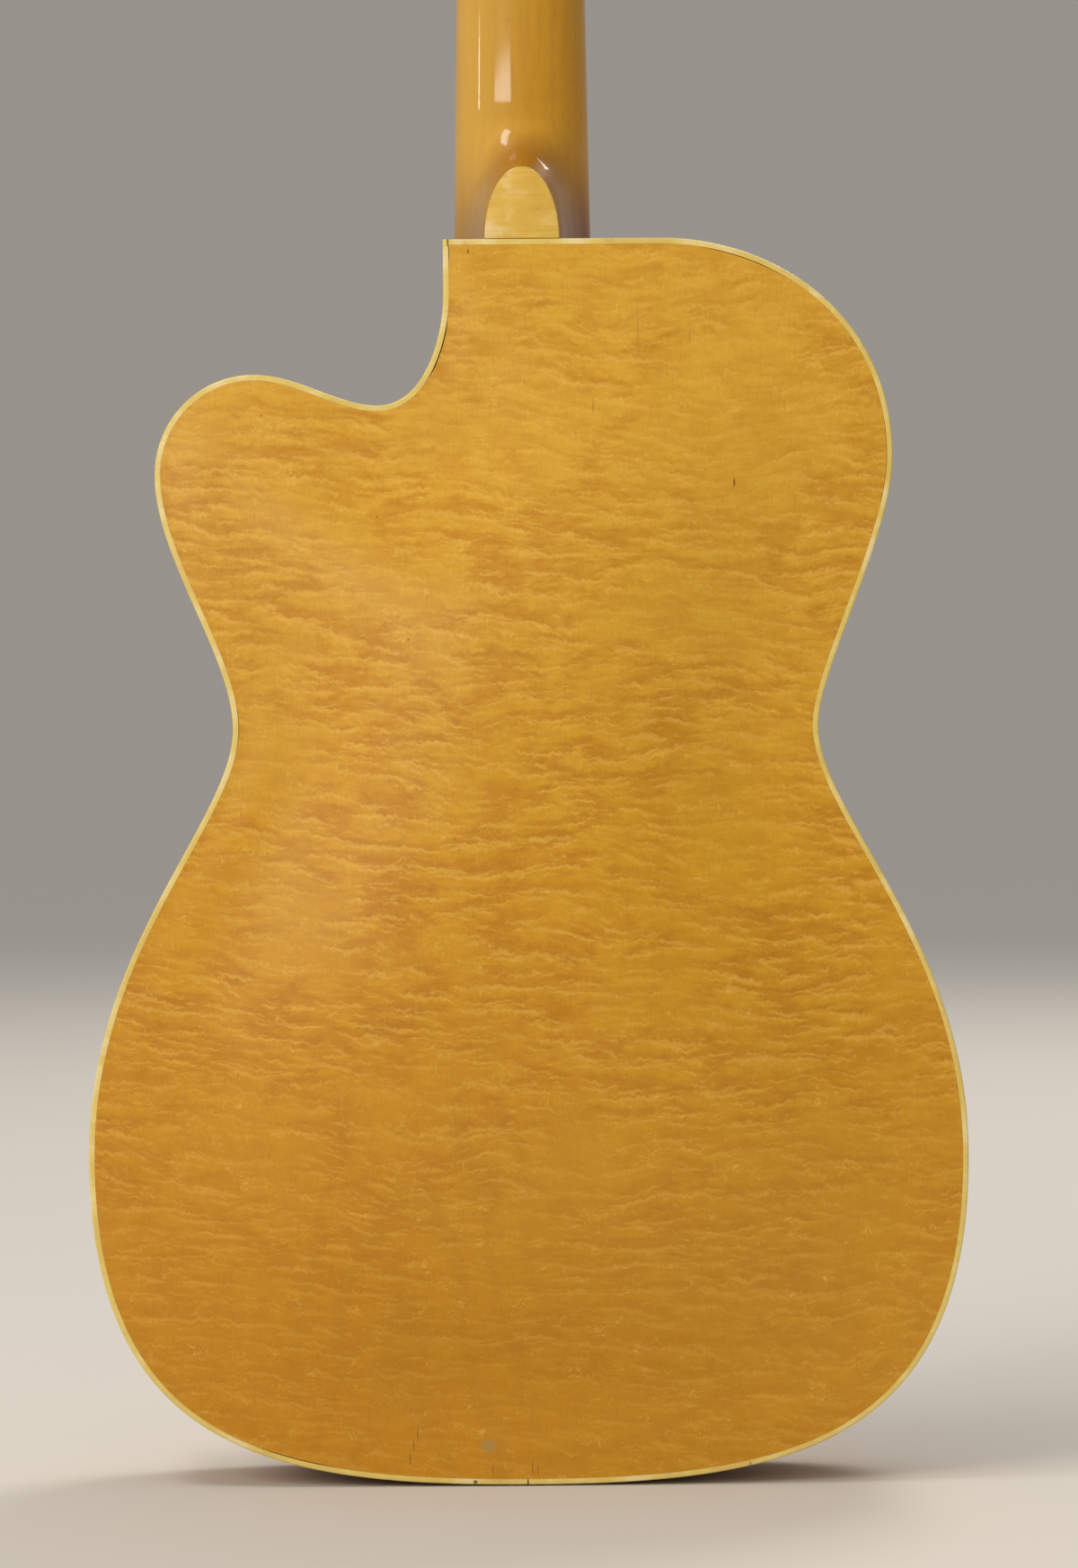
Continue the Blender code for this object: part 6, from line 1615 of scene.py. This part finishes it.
class ARCHTOP_OT_bridge(Make, bpy.types.Operator):
    """Rosewood bridge with its saddle, studs and knurled wheels."""
    bl_idname = "archtop.bridge"
    bl_label = "Bridge"

    def execute(self, context):
        eased_copy("shaped_bridge_base", "bridge_base", 0.0006, "rosewood", 3)
        eased_copy("crowned_saddle", "bridge_saddle", 0.0004, "rosewood")
        for side in ("bass", "treble"):
            low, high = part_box("bridge_stud_" + side)
            centre = (0.5 * (low.x + high.x), 0.0, 0.5 * (low.z + high.z))
            radius = 0.5 * (high.x - low.x)
            count = int((high.y - low.y) / (0.5 * STUD_PITCH))
            thread = [(low.y + (high.y - low.y) * i / count, radius * (1.0 if i % 2 else 0.86))
                      for i in range(count + 1)]
            stud = grid_mesh("threaded_stud_" + side, [lathe(thread, 32, centre=centre)], sharp=60.0)
            piece("threaded_stud_" + side, stud, "brass", "guitar", ["bridge_stud_" + side])
            node = "thumbwheel_" + side
            low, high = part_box(node)
            inner, edge = radius + 0.0004, 0.0005
            profile = [(low.y, inner), (low.y, WHEEL_RADIUS - edge), (low.y + edge, WHEEL_RADIUS),
                       (high.y - edge, WHEEL_RADIUS), (high.y, WHEEL_RADIUS - edge), (high.y, inner),
                       (low.y, inner)]
            grid, where = lathe(profile, 6 * WHEEL_RIDGES, centre=centre, swell=rim_swell)
            wheel = grid_mesh("knurled_wheel_" + side, [(grid[1:-1], where[1:-1])], sharp=40.0)
            piece("knurled_wheel_" + side, wheel, "brass", node, [node])
        return {"FINISHED"}


class ARCHTOP_OT_tailpiece(Make, bpy.types.Operator):
    """Trapeze tailpiece on its hinge, with the bracket's screws."""
    bl_idname = "archtop.tailpiece"
    bl_label = "Tailpiece"

    def execute(self, context):
        eased_copy("hinge_bracket", "tailpiece_bracket", 0.0003, "nickel")
        low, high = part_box("tailpiece_hinge_pin")
        centre = 0.5 * (low + high)
        hinge = (0.0, centre.y, centre.z)
        radius = 0.5 * (high.y - low.y)
        pin = [(low.x, 0.6 * radius), (low.x + 0.0004, radius), (high.x - 0.0004, radius),
               (high.x, 0.6 * radius)]
        mesh = grid_mesh("round_hinge_pin", [lathe(pin, 32, 0, hinge)], sharp=40.0)
        piece("round_hinge_pin", mesh, "steel", "guitar", ["tailpiece_hinge_pin"])
        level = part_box("tailpiece_bracket")[0].y + 0.0015
        places = [(x, level, centre.z + z) for x, z in ((-0.0125, 0.0105), (0.0125, 0.0105), (0.0, 0.0125))]
        screws = screw_mesh("bracket_screws", places, 0.0021, ROOM)
        piece("bracket_screws", screws, "nickel", "guitar")
        bar_y, bar_z = crossbar_middle()
        rods = grid_mesh("rods", self.rods(hinge, bar_y, bar_z), sharp=40.0)
        whole = shaded(joined("cast_trapeze", [rods, self.crossbar(bar_y, bar_z)]), 35.0)
        piece("cast_trapeze", whole, "nickel", "tailpiece", ["tailpiece_trapeze"])
        return {"FINISHED"}

    def rods(self, hinge, bar_y, bar_z):
        """Barrel on the hinge and the two rods, which bend out from it to the ends of the crossbar."""
        half, edge = BARREL_HALF, 0.0003
        barrel = [(-half, 0.0022), (-half, HINGE_RADIUS - edge), (-half + edge, HINGE_RADIUS),
                  (half - edge, HINGE_RADIUS), (half, HINGE_RADIUS - edge), (half, 0.0022)]
        parts = [lathe(barrel, 40, 0, hinge)]
        dy, dz = bar_y - hinge[1], bar_z - hinge[2]
        for side in (-1.0, 1.0):
            out = side * (CROSSBAR_HALF - 0.004)
            path = [(side * 0.6 * half, HINGE_RADIUS * 0.3, 0.0),
                    (side * 0.75 * half, dy * 0.08 + HINGE_RADIUS * 0.3, dz * 0.08),
                    (side * 0.95 * half, dy * 0.18, dz * 0.16),
                    (mix(side * 0.0095, out * 0.92, 0.5), dy * 0.52, dz * 0.51),
                    (out * 0.92, dy * 0.86, dz * 0.86), (out, dy * 0.94, dz * 0.93), (out, dy, dz)]
            path = spline(np.array(path) + hinge, 60)
            parts.append(tube(path, np.full(60, ROD_WIRE), 24, (1.0, 0.0, 0.0)))
        return parts

    def crossbar(self, bar_y, bar_z):
        """Crossbar with rounded corners and a slot for each string."""
        turn = np.linspace(0.0, 0.5 * math.pi, 6)
        corner = 0.0025 * np.stack([np.sin(turn), np.cos(turn)], axis=1)
        corner += (CROSSBAR_HALF - 0.0025, CROSSBAR_WIDTH / 2 - 0.0025)
        right = np.concatenate([corner, (corner * (1.0, -1.0))[::-1]])
        low, high = bar_y - CROSSBAR_THICK / 2, bar_y + CROSSBAR_THICK / 2
        bar = slab("bar", both_sides(right) + (0.0, bar_z), low, high, 0.0010)
        slots = []
        for number, radius in enumerate(STRING_RADII):
            x, gap = string_x(number, STRING_SPREADS[0]), radius + 1.5 * FIT
            start, end = bar_z - 0.007, bar_z + 0.007
            cut = np.array([(x - gap, start), (x + gap, start), (x + gap, end), (x - gap, end)])
            slots.append(cutter(cut, bar_y + CROSSBAR_THICK / 6, bar_y + CROSSBAR_THICK))
        return cut_away(bar, slots, 35.0)


class ARCHTOP_OT_pickguard(Make, bpy.types.Operator):
    """Floating pickguard with its bracket and screw."""
    bl_idname = "archtop.pickguard"
    bl_label = "Pickguard"

    def execute(self, context):
        inner = -(float(neck_half(GUARD_START)) + FIT + 0.0004)
        start, end = -GUARD_START, -GUARD_END
        corner = -(fret_place(sizes().frets) + BOARD_END + 0.004)
        outline = np.concatenate([
            curve((-GUARD_INNER - 0.006, end), (-mix(GUARD_INNER, GUARD_OUTER, 0.60), end - 0.004),
                  (-GUARD_OUTER, mix(end, start, 0.12)), (-GUARD_OUTER, mix(end, start, 0.36)), 40),
            curve((-GUARD_OUTER, mix(end, start, 0.36)), (-GUARD_OUTER, mix(end, start, 0.60)),
                  (-mix(GUARD_INNER, GUARD_OUTER, 0.62), mix(end, start, 0.90)), (inner - 0.008, start), 40),
            np.array([(inner - 0.008, start), (inner, start - 0.003), (inner, corner),
                      (-GUARD_INNER, corner - 0.006), (-GUARD_INNER, end + 0.004)])])
        high = GUARD_RISE + GUARD_THICK
        guard = slab("bevelled_pickguard", outline, GUARD_RISE, high, 0.0009, NECK, sharp=30.0)
        piece("bevelled_pickguard", guard, "tortoise", "guitar", ["pickguard"])
        eased_copy("bent_guard_bracket", "pickguard_bracket", 0.0003, "nickel")
        screw = screw_mesh("guard_screw", [(-0.066, high, -0.540)], 0.0022, NECK)
        piece("guard_screw", screw, "nickel", "guitar")
        return {"FINISHED"}


class ARCHTOP_OT_strings(Make, bpy.types.Operator):
    """Six strings, each in two runs that meet in the saddle's notch.

    The run from the ball end swings with the tailpiece. The other is fixed in the room and rides on no body.
    """
    bl_idname = "archtop.strings"
    bl_label = "Strings"

    def execute(self, context):
        heights = tuner_heights()
        posts = [(TUNER_X, up) for up in heights] + [(-TUNER_X, up) for up in reversed(heights)]
        guide = HEAD[:3, :3] @ np.array([0.0, 1.0, 0.0])
        for number, (post_x, post_up) in enumerate(posts):
            path, radii = string_path(number, post_x, post_up)
            kind = "bronze_string" if number < 4 else "plain_string"
            name = "drawn_string_" + str(6 - number)
            long_run = grid_mesh(name, [tube(path[5:], radii[5:], 14, guide)], sharp=60.0)
            made = piece(name, long_run, kind, None, ["string_" + str(6 - number)])
            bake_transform(made)
            radii[5:7] *= 0.97
            name = "ball_end_run_" + str(6 - number)
            short_run = grid_mesh(name, [tube(path[:7], radii[:7], 14, guide)], sharp=60.0)
            piece(name, short_run, kind, "tailpiece")
        return {"FINISHED"}


class ARCHTOP_OT_inside(Make, bpy.types.Operator):
    """Finishes of the inner pieces, which keep their own solids."""
    bl_idname = "archtop.inside"
    bl_label = "Inside pieces"

    def execute(self, context):
        refinish("back_lining", "top_lining", "neck_block", "tail_block", "tone_bar_bass", "tone_bar_treble",
                 material="inner_wood")
        refinish("truss_rod", material="steel")
        return {"FINISHED"}


class ARCHTOP_OT_studio(Make, bpy.types.Operator):
    """Pale floor, even light, lamps and the camera."""
    bl_idname = "archtop.studio"
    bl_label = "Studio"

    def lamp(self, name, place, aim, power, wide, tall, shade="ffffff"):
        """Soft lamp at a place, turned to what it lights."""
        light = bpy.data.lights.new(name, "AREA")
        light.shape = "RECTANGLE"
        light.size = wide
        light.size_y = tall
        light.energy = power
        light.color = linear(shade)
        made = bpy.data.objects.new(name, light)
        bpy.context.scene.collection.objects.link(made)
        made.location = place
        made.rotation_euler = (Vector(aim) - made.location).to_track_quat("-Z", "Y").to_euler()
        return made

    def execute(self, context):
        s = context.scene.archtop_studio
        scene = context.scene
        scene.view_settings.view_transform = "Standard"
        angle = np.linspace(0.0, 2.0 * math.pi, 97)
        reach = FLOOR_RADIUS * np.array([0.0, 0.01, 0.04, 0.15, 0.5, 1.0])[:, None]
        level = np.full((6, 97), BOTTOM_Z - FLOOR_GAP)
        grid = np.stack([reach * np.cos(angle), reach * np.sin(angle), level], axis=-1)
        mesh = grid_mesh("studio_floor", [(grid, grid[..., :2])])
        if mesh.polygons[0].normal.z < 0.0:
            mesh.flip_normals()
        mesh.materials.append(studio_paper())
        floor = bpy.data.objects.new("studio_floor", mesh)
        scene.collection.objects.link(floor)

        world = bpy.data.worlds.new("studio_air")
        world.use_nodes = True
        scene.world = world
        tree = world.node_tree
        output = tree.nodes["World Output"]
        even = add(tree, "Background", {"Color": "ffffff", "Strength": s.ambient})
        seen = add(tree, "Background", {"Color": colours().floor, "Strength": s.ambient})
        direct = 0.0
        for ray in ("Is Camera Ray", "Is Glossy Ray", "Is Transmission Ray"):
            direct = add(tree, "Math", add(tree, "LightPath", out=ray), direct, operation="MAXIMUM")
        tree.links.new(add(tree, "MixShader", direct, even, seen), output.inputs["Surface"])

        # The large lamp stands for light from all round on that side, so the gloss doesn't show its outline.
        key = self.lamp("key_lamp", (-2.5, BACK_Y - 3.0, 1.45), (0.0, 0.0, -0.62), s.key, 1.7, 1.7, "fff6e8")
        key.visible_glossy = False
        self.lamp("front_lamp", (1.3, TOP_Y + 2.9, 2.6), (0.0, 0.0, -0.50), s.front, 1.7, 1.7, "fffaf2")
        self.lamp("overhead_lamp", (-1.15, BACK_Y - 0.8, 1.9), (0.0, 0.0, -0.45), 20.0, 1.1, 0.5)
        self.lamp("window_lamp", (-0.72, BACK_Y - 1.88, -0.278), (0.0, BACK_Y, -0.26), 3.4, 0.85, 0.105)
        self.lamp("edge_lamp", (-1.80, BACK_Y - 0.84, -0.174), (0.0, BACK_Y, -0.190), 0.6, 0.05, 0.10)

        lens = bpy.data.cameras.new("picture_camera")
        lens.lens = 36.0 * s.distance / s.seen_height
        lens.dof.use_dof = False
        camera = bpy.data.objects.new("picture_camera", lens)
        scene.collection.objects.link(camera)
        camera.location = (s.aim_side, BACK_Y - s.distance, BOTTOM_Z + s.aim_height)
        camera.rotation_euler = (math.radians(90.0), s.roll, 0.0)
        scene.camera = camera
        return {"FINISHED"}


STEPS = (ARCHTOP_OT_studio, ARCHTOP_OT_plates, ARCHTOP_OT_sides, ARCHTOP_OT_neck, ARCHTOP_OT_fingerboard,
         ARCHTOP_OT_headstock, ARCHTOP_OT_tuners, ARCHTOP_OT_bridge, ARCHTOP_OT_tailpiece,
         ARCHTOP_OT_pickguard, ARCHTOP_OT_strings, ARCHTOP_OT_inside)


class ARCHTOP_PT_pieces(bpy.types.Panel):
    """Lists the pieces of the guitar with their sizes and colours."""
    bl_idname = "ARCHTOP_PT_pieces"
    bl_label = "Archtop guitar"
    bl_space_type = "VIEW_3D"
    bl_region_type = "UI"
    bl_category = "Archtop"

    def draw(self, context):
        layout = self.layout
        for step in STEPS:
            layout.operator(step.bl_idname)
        scene = context.scene
        for title, group in (("Sizes", scene.archtop_sizes), ("Colours", scene.archtop_colours),
                             ("Studio", scene.archtop_studio)):
            box = layout.box()
            box.label(text=title)
            for name in type(group).__annotations__:
                box.prop(group, name)


GROUPS = {"archtop_sizes": ArchtopSizes, "archtop_colours": ArchtopColours, "archtop_studio": ArchtopStudio}


def register():
    """Registers the property groups, the operators and the panel."""
    for name, group in GROUPS.items():
        bpy.utils.register_class(group)
        setattr(bpy.types.Scene, name, PointerProperty(type=group))
    for kind in STEPS + (ARCHTOP_PT_pieces,):
        bpy.utils.register_class(kind)


def unregister():
    """Removes the panel, the operators and the property groups."""
    for kind in (ARCHTOP_PT_pieces,) + STEPS[::-1]:
        bpy.utils.unregister_class(kind)
    for name, group in GROUPS.items():
        delattr(bpy.types.Scene, name)
        bpy.utils.unregister_class(group)


def main():
    """Registers the add-on and dresses the whole guitar."""
    register()
    for step in STEPS:
        group, name = step.bl_idname.split(".")
        getattr(getattr(bpy.ops, group), name)()


if __name__ == "__main__":
    main()
